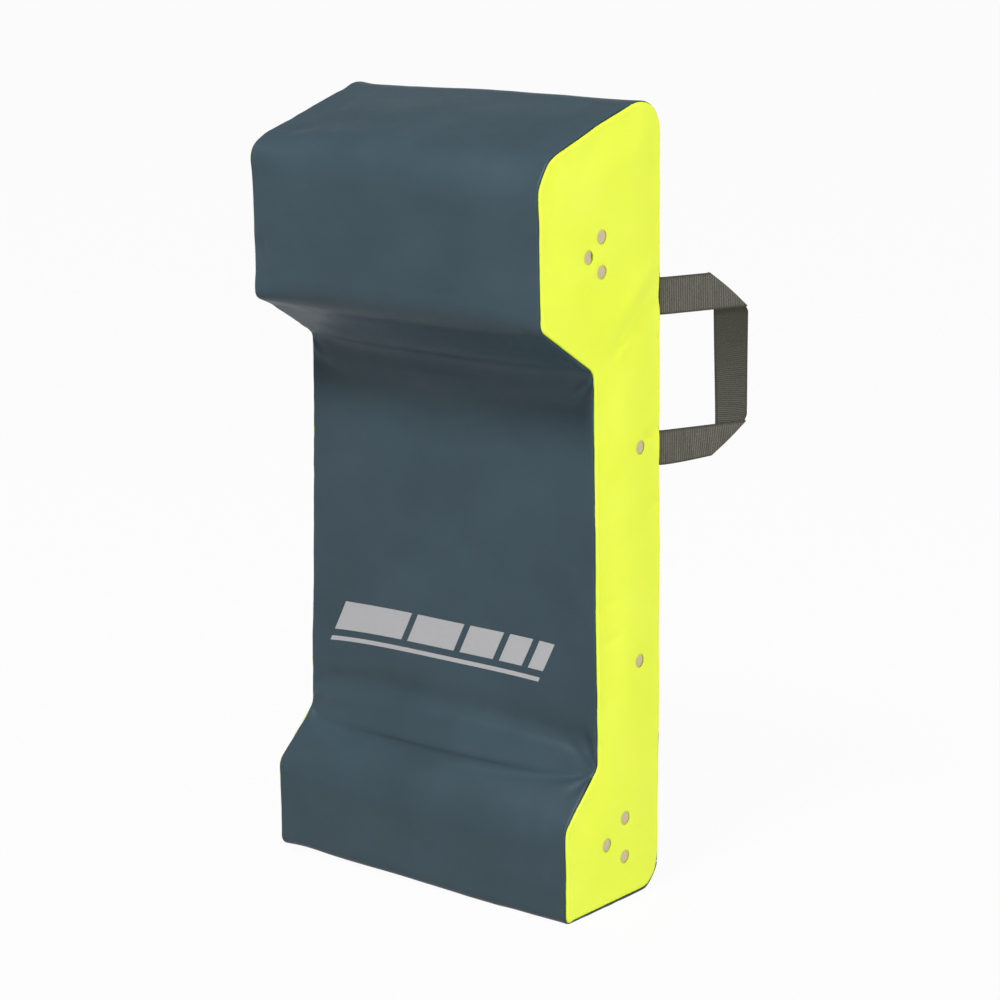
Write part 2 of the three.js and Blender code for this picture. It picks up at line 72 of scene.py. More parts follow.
# Outline of the shield, as in the solids. A corner has its depth forward of the back face, its height,
# its radius at the side seams and half-way between them, and its share of the crown
Corner = namedtuple("Corner", "depth height radius slack crown_share")
OUTLINE = [
    Corner(0, 0.836, 0.040, 0.040, 0),
    Corner(0.112, 0.806, 0.300, 0.300, 1),
    Corner(0.203, 0.776, 0.035, 0.050, 1),
    Corner(0.199, 0.617, 0.010, 0.034, 1),
    Corner(0.114, 0.563, 0.012, 0.024, 0),
    Corner(0.106, 0.154, 0.012, 0.034, 0),
    Corner(0.160, 0.102, 0.020, 0.050, 1),
    Corner(0.160, 0, 0.010, 0.010, 0),
    Corner(0, 0, 0.025, 0.025, 0),
]
TOP_CORNER, UPPER_FOOT, RECESS_TOP, RECESS_FOOT, LOWER_FRONT = 2, 3, 4, 5, 6
CROWN = 0.0025
FLATNESS_POWER = 4  # how flat the cover stays between the side seams

# Left side, which is sewn a little narrower at the top and wider at the foot
LEAN_TOP = 0.008
LEAN_FOOT = -0.010
LEAN_HEIGHTS = (0.06, 0.58)

# Places where the whole shield is pulled out of line
Pull = namedtuple("Pull", "centre reach move")
PULLS = {
    "left_slope": Pull((-0.188, -0.065, 0.800), (0.140, 0.075, 0.050), (0, 0, -0.0048)),
    "left_crest": Pull((-0.188, 0.040, 0.815), (0.140, 0.080, 0.040), (0.0025, 0, -0.0052)),
    "left_top_corner": Pull((-0.188, -0.120, 0.768), (0.050, 0.018, 0.018), (0, -0.0035, 0)),
    "left_bolster_foot": Pull((-0.188, -0.119, 0.617), (0.050, 0.020, 0.020), (0, -0.003, -0.003)),
    "left_foot": Pull((-0.188, -0.080, 0), (0.130, 0.060, 0.060), (0, 0, 0.006)),
    "foot_middle": Pull((-0.020, -0.080, 0), (0.080, 0.060, 0.050), (0, 0, 0.0025)),
    "right_top_corner": Pull((0.188, -0.113, 0.768), (0.060, 0.016, 0.016), (0, 0.0025, -0.0028)),
    "right_back": Pull((0.188, 0.080, 0.220), (0.060, 0.060, 0.340), (0.0015, 0.0015, 0)),
    "right_crest": Pull((0.188, 0.068, 0.812), (0.050, 0.020, 0.020), (0, 0.0022, 0.0022)),
    "right_heel": Pull((0.188, 0.078, 0.004), (0.060, 0.018, 0.018), (0, -0.0030, 0.0024)),
}
SEAM_WANDER = 0.0009
SEAM_WANDER_SPACING = 0.045
SEAM_WANDER_POWER = 6  # how close to the side seams it stays

# Foot of the right side seam, where the front cover comes up round the edge of the shield
WRAP_DEG = 44
WRAP_FADE = 0.0047
WRAP_FRONT = (0.004, 0.014)  # behind the front corner
WRAP_BACK = (0.020, 0.040)  # above the floor

# Seams and fabric
FABRIC_THICKNESS = 0.0011
SEAM_ROUND = 0.0028
SEAM_TURN_DEG = 66
FLAT_SEAM_TURN_DEG = 50
SEAM_RINGS = 6
SIDE_FULLNESS = 0.0022
SIDE_FULLNESS_REACH = 0.05
RIM_DIP = 0.0005
RIM_DIP_REACH = 0.002
SIDE_SHIFT = 5.3  # of the uneven cloth's pattern between the two sides

COVER_FILL = 0.9
FOAM_FILL = 1.0

# Mesh spacing
SMALLEST_GAP = 1e-6
SHARP_EDGE_DEG = 60
TAU_STEPS = 60  # in each arc or straight of the outline
NOISE_CELLS = 64
GAP_GROWTH = 1.35  # of each gap on the last one, away from an edge
ROW_SPACING = 0.0036
COLUMN_SPACING = 0.0042
PANEL_SPACING = 0.0046
EDGE_SPACING = 0.0022

# Folds across the front cover. Each has its distances past a corner of the outline, and its widths,
# at the left seam, in the middle and at the right seam. A negative height is a crease.
Fold = namedtuple("Fold", "corner places widths height")
FOLDS = {
    "recess_foot_dip": Fold(RECESS_FOOT, (-0.026, -0.021, -0.018), (0.013, 0.019, 0.016), -0.0054),
    "recess_foot_ridge": Fold(RECESS_FOOT, (-0.010, 0.001, -0.005), (0.006, 0.009, 0.006), 0.0034),
    "lower_flank_dip": Fold(RECESS_FOOT, (0.006, 0.024, 0.002), (0.009, 0.017, 0.007), -0.0050),
    "recess_top_crease": Fold(RECESS_TOP, (0, -0.002, 0), (0.0030, 0.0040, 0.0030), -0.0014),
    "recess_top_ridge": Fold(RECESS_TOP, (0.014, 0.020, 0.010), (0.008, 0.012, 0.006), 0.0010),
    "recess_brow": Fold(RECESS_TOP, (0.026, 0.058, 0.020), (0.014, 0.034, 0.014), -0.0018),
}
FOLD_BOW_POWER = 0.8
FOLD_WIDTH_POWER = 0.7
FOLD_FADE = 0.016  # its end at a seam

# Dimples in the front cover: place across, distance past a corner, half sizes and height
Dimple = namedtuple("Dimple", "place corner past across along height")
DIMPLES = {
    "upper_left": Dimple(-0.174, UPPER_FOOT, -0.045, 0.006, 0.018, -0.0018),
    "left_of_recess": Dimple(-0.170, RECESS_TOP, 0.026, 0.014, 0.006, -0.0016),
    "upper_low": Dimple(0.020, UPPER_FOOT, -0.030, 0.070, 0.030, 0.0016),
    "top_left": Dimple(-0.150, TOP_CORNER, -0.030, 0.016, 0.012, -0.0016),
    "base_right": Dimple(0.160, LOWER_FRONT, 0.060, 0.010, 0.012, 0.0010),
}

# Creases that fan out from where a seam turns inwards: place across, corner, rays, reach and height
Fan = namedtuple("Fan", "place corner rays reach height")
FANS = {
    "recess_top_right": Fan(0.188, RECESS_TOP, 9, 0.022, 0.0009),
    "recess_top_left": Fan(-0.188, RECESS_TOP, 7, 0.020, 0.0007),
    "recess_foot_right": Fan(0.188, RECESS_FOOT, 9, 0.026, 0.0010),
    "recess_foot_left": Fan(-0.188, RECESS_FOOT, 7, 0.022, 0.0007),
}

# Creases in the side panels, between two places (y, z)
CREASE_TAPER = 2  # a crease fades in over its run divided by this
CREASE_BLUNTNESS = 0.5  # of its far end
Crease = namedtuple("Crease", "start end width height")
SIDE_CREASES = {
    "handle_pull": Crease((-0.027, 0.563), (0.074, 0.634), 0.014, -0.0024),
    "handle_pull_ridge": Crease((-0.015, 0.590), (0.070, 0.662), 0.012, 0.0016),
    "handle_root": Crease((0.066, 0.616), (0.080, 0.628), 0.010, -0.0009),
    "gather_low": Crease((-0.012, 0.575), (0.020, 0.597), 0.0035, -0.0013),
    "gather_high": Crease((-0.004, 0.568), (0.030, 0.590), 0.0035, 0.0011),
    "lower_root": Crease((0.040, 0.484), (0.080, 0.490), 0.005, -0.0015),
    "below_lower_root": Crease((0.040, 0.400), (0.078, 0.416), 0.006, -0.0013),
    "seam_middle": Crease((-0.026, 0.334), (0.004, 0.320), 0.004, -0.0011),
    "seam_low": Crease((-0.026, 0.286), (0.006, 0.284), 0.004, -0.0011),
}

# Uneven cloth: height, spacing of the bumps along and across, seed, and how far they fade out to a seam
Ripple = namedtuple("Ripple", "height along across seed fade")
COVER_RIPPLES = {
    "slack": Ripple(0.0007, 0.110, 0.090, 1, 0.050),
    "small": Ripple(0.0004, 0.034, 0.050, 2, 0.020),
}
SIDE_RIPPLES = {
    "slack": Ripple(0.0006, 0.070, 0.100, 5, 0.030),
    "small": Ripple(0.0004, 0.030, 0.026, 6, 0.020),
}
BACK_RIPPLES = {
    "slack": Ripple(0.0006, 0.080, 0.120, 15, 0.040),
    "small": Ripple(0.0004, 0.050, 0.050, 16, 0.020),
}
PUCKERS = Ripple(0.0005, 0.012, 0.012, 3, 0.012)

# Cloth simulation
FOAM_DEPTH = 0.0025  # of the foam's faces under the outside of the cover
CLOTH_SPACING = 0.006
CLOTH_CLEARANCE = 0.001
CLOTH_FRAMES = 24
CLOTH_MOST_MOVE = 0.012
CLOTH_SOFTENING = 2
CLOTH_SETTINGS = {
    "quality": 6,
    "mass": 0.3,
    "tension_stiffness": 60,
    "compression_stiffness": 60,
    "shear_stiffness": 20,
    "bending_stiffness": 0.6,
    "shrink_min": 0.02,
    "use_pressure": True,
    "uniform_pressure_force": 1,
}

# Vents: each trio has two vents, one above the other, and one in front. A trio is its depth and height,
# the distance between the first two, and how far in front the third one is
VENT_RADIUS = 0.007
VENT_POINTS = 36
VENT_RIMS = (0, 0.0005, 0.0013, 0.003)
UPPER_TRIO = (0.103, 0.6805, 0.035, 0.021)
LOWER_TRIO = (0.062, 0.069, 0.042, 0.031)
MIDDLE_VENT_DEPTH = 0.038
MIDDLE_VENT_HEIGHTS = (0.476, 0.252)

# Foam
FOAM_INSET = 0.0045
FOAM_SIDE_INSET = 0.0003  # under the side panels, whose vents show it
FACING_SHARE = 0.5  # of a normal, for a face that counts as facing the side
FOAM_CELL = 0.005

# Webbing handles
WEBBING_WIDTH = 0.038
WEBBING_THICKNESS = 0.0018
HANDLE_REACH = 0.098
HANDLE_SPREAD_DEG = 25
FOLD_RUN = 0.045
FOLD_RADIUS = 0.0012
FOLD_TUCK_SHARE = 0.03  # of the fold's length, at each of its ends
TAIL_SLANT_DEG = 45
TAIL_REACH = 0.0085  # from the bend inside the cover to the bend outside
TAIL_LENGTH = 0.022
STRAP_STEP = 0.0022
STRAP_COLUMNS = 12
FOLD_STEPS = 8
GRIP_BULGE = 0.0024
GRIP_BULGE_RUN = 0.010
GRIP_NARROWING = 0.004
GRIP_SHADE_SHARE = 0.35  # share of the painted shade at the grip's top that stays at its foot
STRAP_SWAY = 0.0008
STRAP_SWAY_LENGTH = 0.05
SWAY_SEED = 31
STRAP_CURL = 0.0005
LOWER_LEG_TAPER = 0.006
LOWER_LEG_DROP = 0.0022
LOWER_LEG_FADE = 0.030  # up the grip, where its own edges start
BEND_SOFTNESS = 0.0025
BEND_SAMPLES = 9

# Print on the recess
PRINT_LEFT = -0.140
PRINT_RISE = 0.118  # of its top above the foot of the recess
PRINT_BAR_WIDTHS = (0.090, 0.062, 0.043, 0.029, 0.019)
PRINT_BAR_HEIGHT = 0.033
PRINT_LINE_HEIGHT = 0.005
PRINT_GAP = 0.008
PRINT_SLANT = 0.45
PRINT_LIFT = 0.0002
PRINT_SPACING = 0.004

# Zip
ZIP_TAPE_COLUMNS = 8
TAPE_WAVE = 0.0002
TAPE_WAVE_LENGTH = 0.02
TAPE_SEED = 41
TOOTH_PITCH = 0.0014
TOOTH_SIZE = (0.0046, 0.0018, 0.0010)
TOOTH_EDGE = 0.00025
TOOTH_SEGMENTS = 2
ROUND_PROFILE = 0.5
ZIP_OPENING = 0.0065
OPENING_TAPER = 0.004
METAL_EDGE = 0.0003
METAL_SEGMENTS = 3
METAL_MERGE = 0.000006  # of doubled points
FLAT_FACE_DEG = 2

# Noise in the materials. The size is that of its patches
Noise = namedtuple("Noise", "size detail roughness distortion", defaults=(2, 0.5, 0))
MOTTLE = Noise(0.11, 3, 0.55)
SMUDGES = Noise(0.026, 4, 0.6, 0.4)
CRUMPLES = Noise(0.018)
PEBBLES = Noise(0.0007)
FOAM_GRAIN = Noise(0.004, 3)
FUZZ = Noise(0.0014, 3)
MOULD_GRAIN = Noise(0.0011)
METAL_WEAR = Noise(0.0024, 4, 0.6)
INK_WEAR = Noise(0.0024, 4, 0.7)
GATHERS = Noise(1)
RIB_NOISE = Noise(1, 3, 0.7)

# Bumps in the materials: depth, and strength of the shading
PEBBLE_BUMP = (0.00005, 0.5)
SCRIM_BUMP = (0.00002, 0.35)
CRUMPLE_BUMP = (0.0004, 0.35)
GATHER_BUMP = (0.0005, 0.6)
FOAM_BUMP = (0.0004, 0.8)
RIB_BUMP = (0.0004, 0.9)
FUZZ_BUMP = (0.0001, 0.5)
MOULD_BUMP = (0.00004, 0.5)
METAL_BUMP = (0.00004, 0.4)

# Spacing of patterns in the materials
WAVE_TEXTURE_SCALE = 20  # of the angle in Blender's wave texture
SCRIM_SPACING = 0.0012
GATHER_REACH = 0.010
GATHER_SPACING = 0.005
SEAM_SHADE_REACH = 0.0014
FOAM_PORE_SIZE = 0.0011
RIB_SPACING = 0.0021
RIB_UNEVEN_LENGTH = 0.0045
YARN_SHARE = 0.6  # of the ribs' spacing
SELVEDGE_WIDTH = 0.0014
ZIP_RIB_SPACING = 0.00075

# Shares of a pattern, and of the paler colour, between which it is stretched
WHOLE_SHARES = (0, 1)
NOISE_SHARES = (0.3, 0.7)
SMUDGE_SHARES = (0.25, 0.75)
PORE_SHARES = (0, 0.6)
PORE_TINT_SHARES = (0.3, 1)
GRAIN_TINT_SHARES = (0.6, 1)
WEAVE_SHARES = (0, 0.45)
WEAVE_TINT_SHARES = (0.1, 1)
SELVEDGE_TINT_SHARES = (1, 0.1)
FADING_SHARES = (1, 0)

# Shine
CLOTH_SPECULAR = 0.20
CLOTH_ROUGHNESS = 0.46
SMUDGE_ROUGHNESS = (0.41, 0.53)
FOAM_ROUGHNESS = 0.95
WEBBING_ROUGHNESS = 0.82
WEBBING_SHEEN = 0.08
SHEEN_ROUGHNESS = 0.5
PLASTIC_ROUGHNESS = 0.38
METAL_ROUGHNESS = 0.34
METAL_WEAR_ROUGHNESS = (0.26, 0.46)
INK_ROUGHNESS = 0.5

# Colours, linear
SLATE = (0.039, 0.066, 0.084, 1)
SLATE_PALE = (0.048, 0.080, 0.101, 1)
# Painted shade of the slate, where it turns at its seams
SLATE_SEAM_SHADE = (0.014, 0.026, 0.033, 1)
NEON = (0.83, 0.94, 0.085, 1)
NEON_DEEP = (0.80, 0.92, 0.055, 1)
# Painted shade of the neon, where it turns at its seams and vent rims
NEON_SEAM_SHADE = (0.58, 0.78, 0.004, 1)
FOAM = (0.68, 0.55, 0.38, 1)
FOAM_DEEP = (0.50, 0.39, 0.25, 1)
WEBBING = (0.186, 0.177, 0.149, 1)
WEBBING_DEEP = (0.034, 0.034, 0.026, 1)
ZIP_CLOTH = (0.014, 0.016, 0.018, 1)
ZIP_CLOTH_PALE = (0.030, 0.033, 0.036, 1)
ZIP_TOOTH = (0.010, 0.011, 0.012, 1)
INK = (0.50, 0.50, 0.51, 1)
INK_DEEP = (0.42, 0.42, 0.43, 1)
METAL = (0.42, 0.44, 0.46, 1)
METAL_DARK = (0.27, 0.28, 0.30, 1)
WHITE = (1, 1, 1, 1)
FIRST_COLOUR, SECOND_COLOUR, MIXED_COLOUR = 6, 7, 2  # sockets of the Mix node

# Camera, floor and light
CAMERA_PLACE = (2.0689, -2.5918, 1.2102)
CAMERA_YAW_DEG = 38
CAMERA_PITCH_DEG = 13.7
CAMERA_ROLL_DEG = -0.34
CAMERA_LENS = 118.8
CAMERA_SENSOR = 36
FLOOR_SIZE = 44
FLOOR_COLOUR = (0.54, 0.54, 0.54, 1)
FLOOR_GLOW_SHARE = 0.96
GLOW = {"Color": WHITE, "Strength": 1}
WORLD_LIGHT = 0.15
BACKDROP_HEIGHTS = (0.10, 0.45)  # of a direction, where the backdrop fades into the ceiling
LAMP_AIM = (0, 0, 0.45)
LAMPS = {
    "key": ((0.25, -2.7, 4.3), 0.9, 206),
    "side": ((3.55, -0.45, 1.0), 2.0, 84),
}


# Places taken from the solids


def heights_of(node):
    low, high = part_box(node)
    return low.z, high.z


BACK_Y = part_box("back_panel_right")[1].y
HALF_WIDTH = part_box("side_panel_right")[1].x
BACK_SEAM_HEIGHTS = heights_of("back_panel_right")
ZIP_HEIGHTS = (heights_of("zip_lower_stop")[0], heights_of("zip_upper_stop")[1])
LEG_FOOT, STRAP_TOP = heights_of("handle_tail_upper_right")
STRAP_FOOT, _ = heights_of("handle_tail_lower_right")
STRAP_MIDDLE = (STRAP_TOP + STRAP_FOOT) / 2
JOINTS = {joint["name"]: joint for joint in frame["record"]["behaviour"]["joints"]}
HINGE = JOINTS["handle_right_swing"]["pos_m"]
HINGE_PLACE = np.array(HINGE[:2])
HANDLE_SPREAD = math.radians(HANDLE_SPREAD_DEG)
LEG_DIRECTION = np.array([math.sin(HANDLE_SPREAD), math.cos(HANDLE_SPREAD)])
LEG_NORMAL = np.array([LEG_DIRECTION[1], -LEG_DIRECTION[0]])
BEND_SHIFTS = np.linspace(-BEND_SOFTNESS, BEND_SOFTNESS, BEND_SAMPLES)
SIDES = {"right": 1, "left": -1}
FOAM_NODES = ["foam_back_board", "foam_body_slab", "foam_upper_bolster", "foam_lower_bolster"]
METAL_NODES = {
    "zip_upper_stop": "shield",
    "zip_lower_stop": "shield",
    "zip_slider": "zip_slider",
    "zip_pull_tab": "zip_pull",
}


# Small maths


def mix(a, b, share):
    return a + (b - a) * share


def smooth(t):
    t = np.clip(t, 0, 1)
    return t * t * (3 - 2 * t)


def rise(value, low, high):
    """0 below low, 1 above high, and smooth between them."""
    return smooth((value - low) / (high - low))


def unit(vectors):
    return vectors / np.linalg.norm(vectors, axis=-1, keepdims=True)


def soft_noise(u, v, seed):
    """Smooth noise between -1 and 1 with one bump in each unit square."""
    lattice = np.random.default_rng(seed).uniform(-1, 1, (NOISE_CELLS, NOISE_CELLS))
    iu, iv = np.floor(u).astype(int), np.floor(v).astype(int)
    fu, fv = smooth(u - iu), smooth(v - iv)

    def row(across):
        before, after = (lattice[i % NOISE_CELLS, across % NOISE_CELLS] for i in (iu, iu + 1))
        return mix(before, after, fu)

    return mix(row(iv), row(iv + 1), fv)


def leaning(height):
    """How far the left seam stands to the right, at a height."""
    return mix(LEAN_FOOT, LEAN_TOP, rise(height, *LEAN_HEIGHTS))


def wrapped(points):
    """Points with the seam at the foot of the right side turned up round the edge of the shield."""
    x, y, z = np.moveaxis(points, -1, 0)
    radius = OUTLINE[-1].radius
    inward = np.stack([np.minimum(y, BACK_Y - radius), np.maximum(z, radius)], -1) - points[..., 1:]
    far = np.linalg.norm(inward, axis=-1)
    above, beside = radius - far, HALF_WIDTH - x
    share = 1 - rise(above, CORNER_START, CORNER_START + WRAP_FADE)
    share = share * (1 - rise(beside, CORNER_REACH, CORNER_REACH + WRAP_FADE))
    share = share * rise(y - BACK_Y + OUTLINE[-2].depth, *WRAP_FRONT) * (1 - rise(z, *WRAP_BACK))
    angle = math.radians(WRAP_DEG) * share
    cos, sin = np.cos(angle), np.sin(angle)
    a, b = beside - CORNER_REACH, above - CORNER_REACH
    side = HALF_WIDTH - CORNER_REACH - a * cos - b * sin
    lift = (CORNER_REACH - a * sin + b * cos - above) / np.maximum(far, SMALLEST_GAP)
    return np.concatenate([side[..., None], points[..., 1:] + inward * lift[..., None]], -1)


def as_sewn(points):
    """Moves points of the true outline to where the uneven sewing and stuffing leave them."""
    points = wrapped(np.array(points, float))
    moved = points.copy()
    moved[..., 0] += leaning(points[..., 2]) * np.clip(-points[..., 0] / HALF_WIDTH, 0, 1) ** 2
    for pull in PULLS.values():
        away = ((points - pull.centre) / pull.reach) ** 2
        moved += np.exp(-away.sum(-1))[..., None] * np.array(pull.move)
    place = points / SEAM_WANDER_SPACING
    beside = np.clip(np.abs(points[..., 0]) / HALF_WIDTH, 0, 1) ** SEAM_WANDER_POWER
    for axis in (1, 2):
        wander = soft_noise(place[..., 2] + np.sign(place[..., 0]), place[..., 1], axis)
        moved[..., axis] += SEAM_WANDER * wander * beside * smooth(points[..., 2] / SEAM_WANDER_SPACING)
    return moved


# The outline, in which tau counts the arcs and straights from the back top corner


def corner_arc(before, corner, after, radius):
    back, on = before - corner, after - corner
    room = min(np.linalg.norm(back), np.linalg.norm(on)) / 2
    back, on = unit(back), unit(on)
    half_angle = math.acos(back @ on) / 2
    reach = min(radius / math.tan(half_angle), room)
    centre = corner + unit(back + on) * reach / math.cos(half_angle)
    turn = np.sign(on[0] * back[1] - on[1] * back[0]) * (math.pi - 2 * half_angle)
    return centre, corner + back * reach - centre, turn


def on_arc(arc, part):
    centre, (y, z), turn = arc
    angle = turn * np.asarray(part, float)[..., None]
    cos, sin = np.cos(angle), np.sin(angle)
    return centre + np.concatenate([y * cos - z * sin, y * sin + z * cos], -1)


def outline_points(share, tau, foam=False):
    """Points (y, z) of the cover at a share of the way from the side seams (0) to the middle (1).

    The foam keeps its tight inner corners, which the cloth spans.
    """
    corners = np.array([(BACK_Y - c.depth, c.height) for c in OUTLINE])
    count = len(OUTLINE)
    arcs = []
    for i, corner in enumerate(OUTLINE):
        tight = foam and i in (RECESS_TOP, RECESS_FOOT)
        radius = corner.radius if tight else mix(corner.radius, corner.slack, share)
        arcs.append(corner_arc(corners[i - 1], corners[i], corners[(i + 1) % count], radius))
    points = np.empty((len(tau), 2))
    for i in range(count):
        arc_part = (tau >= 2 * i) & (tau <= 2 * i + 1)
        points[arc_part] = on_arc(arcs[i], tau[arc_part] - 2 * i)
        start, end = on_arc(arcs[i], 1), on_arc(arcs[(i + 1) % count], 0)
        straight = (tau > 2 * i + 1) & (tau <= 2 * i + 2)
        points[straight] = start + (end - start) * (tau[straight] - 2 * i - 1)[:, None]
    return points


def line_normals(points):
    """Outward normals of a line in (y, z)."""
    along = np.gradient(points, axis=0)
    return unit(np.stack([along[:, 1], -along[:, 0]], 1))


def crown_amount(tau):
    """How much of the crown there is: all of it at the foam's outer corners, none in the recess."""
    shares = np.array([corner.crown_share for corner in (*OUTLINE, OUTLINE[0])], float)
    last = np.minimum((tau // 2).astype(int), len(OUTLINE) - 1)
    return mix(shares[last], shares[last + 1], smooth(tau - 2 * last - 1))


def length_table(last_tau):
    """Values of tau and the length of the seam line up to each."""
    tau = np.linspace(0, last_tau, TAU_STEPS * last_tau + 1)
    steps = np.linalg.norm(np.diff(outline_points(0, tau), axis=0), axis=1)
    return tau, np.concatenate([[0], np.cumsum(steps)])


COVER_TAU, COVER_LENGTHS = length_table(2 * len(OUTLINE) - 1)
COVER_LENGTH = COVER_LENGTHS[-1]


def tau_at(length):
    return np.interp(length, COVER_LENGTHS, COVER_TAU)


def corner_length(index):
    """Length along the seam line to the middle of a corner's arc."""
    return float(np.interp(2 * index + 0.5, COVER_TAU, COVER_LENGTHS))


# Turned seams


def roll(distance, reach):
    """How far a turned edge dips, at a distance from the ideal corner or from a flat seam."""
    sine = np.clip((reach - distance) / SEAM_ROUND, 0, math.sin(SEAM_TURN))
    return SEAM_ROUND * (1 - np.sqrt(1 - sine**2))


def ring_distances(reach, turn):
    """Distances at which a turned edge gets its rows, from the seam line inwards."""
    return reach - SEAM_ROUND * np.sin(np.linspace(turn, 0, SEAM_RINGS))


SEAM_TURN, FLAT_TURN = math.radians(SEAM_TURN_DEG), math.radians(FLAT_SEAM_TURN_DEG)
CORNER_START = SEAM_ROUND * (1 - math.cos(SEAM_TURN))  # of a panel, inside the ideal corner of two faces
CORNER_REACH = CORNER_START + SEAM_ROUND * math.sin(SEAM_TURN)
CORNER_RINGS = ring_distances(CORNER_REACH, SEAM_TURN)
FLAT_REACH = SEAM_ROUND * math.sin(FLAT_TURN)
FLAT_RINGS = ring_distances(FLAT_REACH, FLAT_TURN)


def graded(start, end, step):
    """Places between start and end, close together near start."""
    places, here, gap = [], start, EDGE_SPACING
    while here + gap < end:
        here += gap
        places.append(here)
        gap = min(gap * GAP_GROWTH, step)
    return places


def between_seams(low, high):
    """Places from one flat seam to another, close together at both."""
    middle = (low + high) / 2
    near = [*(low + FLAT_RINGS), *graded(low + FLAT_REACH, middle, ROW_SPACING)]
    return np.array([*near, middle, *[low + high - place for place in near[::-1]]])


def even_places(low, high, spacing):
    return np.linspace(low, high, round((high - low) / spacing) + 1)


# Meshes


def mesh_object(name, points, faces, **layers):
    """A piece from points and faces, with a flat map for each named layer of places on the cloth."""
    mesh = bpy.data.meshes.new(name)
    vertices = np.asarray(points, float).reshape(-1, 3)
    mesh.from_pydata(vertices.tolist(), [], [tuple(map(int, face)) for face in faces])
    mesh.validate()
    corners = np.empty(len(mesh.loops), int)
    mesh.loops.foreach_get("vertex_index", corners)
    for layer_name, places in layers.items():
        layer = mesh.uv_layers.new(name=layer_name)
        layer.data.foreach_set("uv", np.asarray(places, np.float32).reshape(-1, 2)[corners].ravel())
    mesh.shade_smooth()
    piece = bpy.data.objects.new(name, mesh)
    bpy.context.scene.collection.objects.link(piece)
    return piece


def grid_faces(rows, columns):
    """Quads whose normal is the row direction crossed with the column direction."""
    index = np.arange(rows * columns).reshape(rows, columns)
    return np.stack([index[:-1, :-1], index[1:, :-1], index[1:, 1:], index[:-1, 1:]], -1).reshape(-1, 4)


def grid_normals(points):
    return unit(np.cross(np.gradient(points, axis=0), np.gradient(points, axis=1)))


def vertex_values(mesh, kind):
    values = np.empty(3 * len(mesh.vertices))
    mesh.vertices.foreach_get(kind, values)
    return values.reshape(-1, 3)


def apply_modifiers(piece):
    depsgraph = bpy.context.evaluated_depsgraph_get()
    mesh = bpy.data.meshes.new_from_object(piece.evaluated_get(depsgraph))
    piece.modifiers.clear()
    old, piece.data = piece.data, mesh
    bpy.data.meshes.remove(old)


def thicken(piece, thickness, offset=-1):
    shell = piece.modifiers.new("thickness", "SOLIDIFY")
    shell.thickness = thickness
    shell.offset = offset
    apply_modifiers(piece)
    piece.data.set_sharp_from_angle(angle=math.radians(SHARP_EDGE_DEG))


def sheet(name, points, side, thickness, offset=-1, **layers):
    """A thick sheet from rows and columns of points, turned inside out on the left side."""
    piece = mesh_object(name, points, grid_faces(*points.shape[:2])[:, ::side], **layers)
    thicken(piece, thickness, offset)
    return piece


def copy_of(node, name):
    piece = bpy.data.objects.new(name, frame["nodes"][node].data.copy())
    bpy.context.scene.collection.objects.link(piece)
    return piece


def finish_piece(piece, material, body, slot, *replaced, fill=None):
    piece.data.materials.clear()
    piece.data.materials.append(material)
    if body:
        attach(piece, body)
    if replaced:
        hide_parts(*replaced)


# Materials


def add_node(tree, kind, values=None, **settings):
    node = tree.nodes.new(kind)
    for key, value in settings.items():
        setattr(node, key, value)
    for key, value in (values or {}).items():
        if isinstance(value, bpy.types.NodeSocket):
            tree.links.new(value, node.inputs[key])
        else:
            node.inputs[key].default_value = value
    return node


def new_material(name, roughness, **sockets):
    material = bpy.data.materials.new(name)
    material.use_nodes = True
    shader = material.node_tree.nodes["Principled BSDF"]
    for key, value in {"Roughness": roughness, **sockets}.items():
        shader.inputs[key.replace("_", " ")].default_value = value
    return material, material.node_tree, shader


def wire(tree, shader, **sockets):
    for key, value in sockets.items():
        tree.links.new(value, shader.inputs[key.replace("_", " ")])


def position(tree, kind="Object"):
    return add_node(tree, "ShaderNodeTexCoord").outputs[kind]


def fabric_place(tree, layer="fabric"):
    return add_node(tree, "ShaderNodeUVMap", uv_map=layer).outputs["UV"]


def stretched(tree, place, along, across):
    """Places on the cloth counted in units of a length along and one across."""
    scale = (1 / along, 1 / across, 1)
    return add_node(tree, "ShaderNodeVectorMath", {0: place, 1: scale}, operation="MULTIPLY").outputs[0]


def split(tree, place):
    parts = add_node(tree, "ShaderNodeSeparateXYZ", {0: place}).outputs
    return parts[0], parts[1]


def noise(tree, place, kind):
    """Noise between 0 and 1."""
    values = {
        "Vector": place,
        "Scale": 1 / kind.size,
        "Detail": kind.detail,
        "Roughness": kind.roughness,
        "Distortion": kind.distortion,
    }
    return add_node(tree, "ShaderNodeTexNoise", values).outputs["Fac"]


def remap(tree, value, before, after=WHOLE_SHARES):
    values = {"Value": value}
    for side, shares in {"From": before, "To": after}.items():
        values[f"{side} Min"], values[f"{side} Max"] = shares
    return add_node(tree, "ShaderNodeMapRange", values).outputs["Result"]


def blend_colours(tree, share, first, second):
    values = {0: share, FIRST_COLOUR: first, SECOND_COLOUR: second}
    return add_node(tree, "ShaderNodeMix", values, data_type="RGBA").outputs[MIXED_COLOUR]


def math_node(tree, operation, first, second):
    return add_node(tree, "ShaderNodeMath", {0: first, 1: second}, operation=operation).outputs[0]


def product(tree, first, *others):
    for other in others:
        first = math_node(tree, "MULTIPLY", first, other)
    return first


def bump(tree, height, size, below=None):
    values = {"Height": height, "Distance": size[0], "Strength": size[1]}
    if below is not None:
        values["Normal"] = below
    return add_node(tree, "ShaderNodeBump", values).outputs["Normal"]


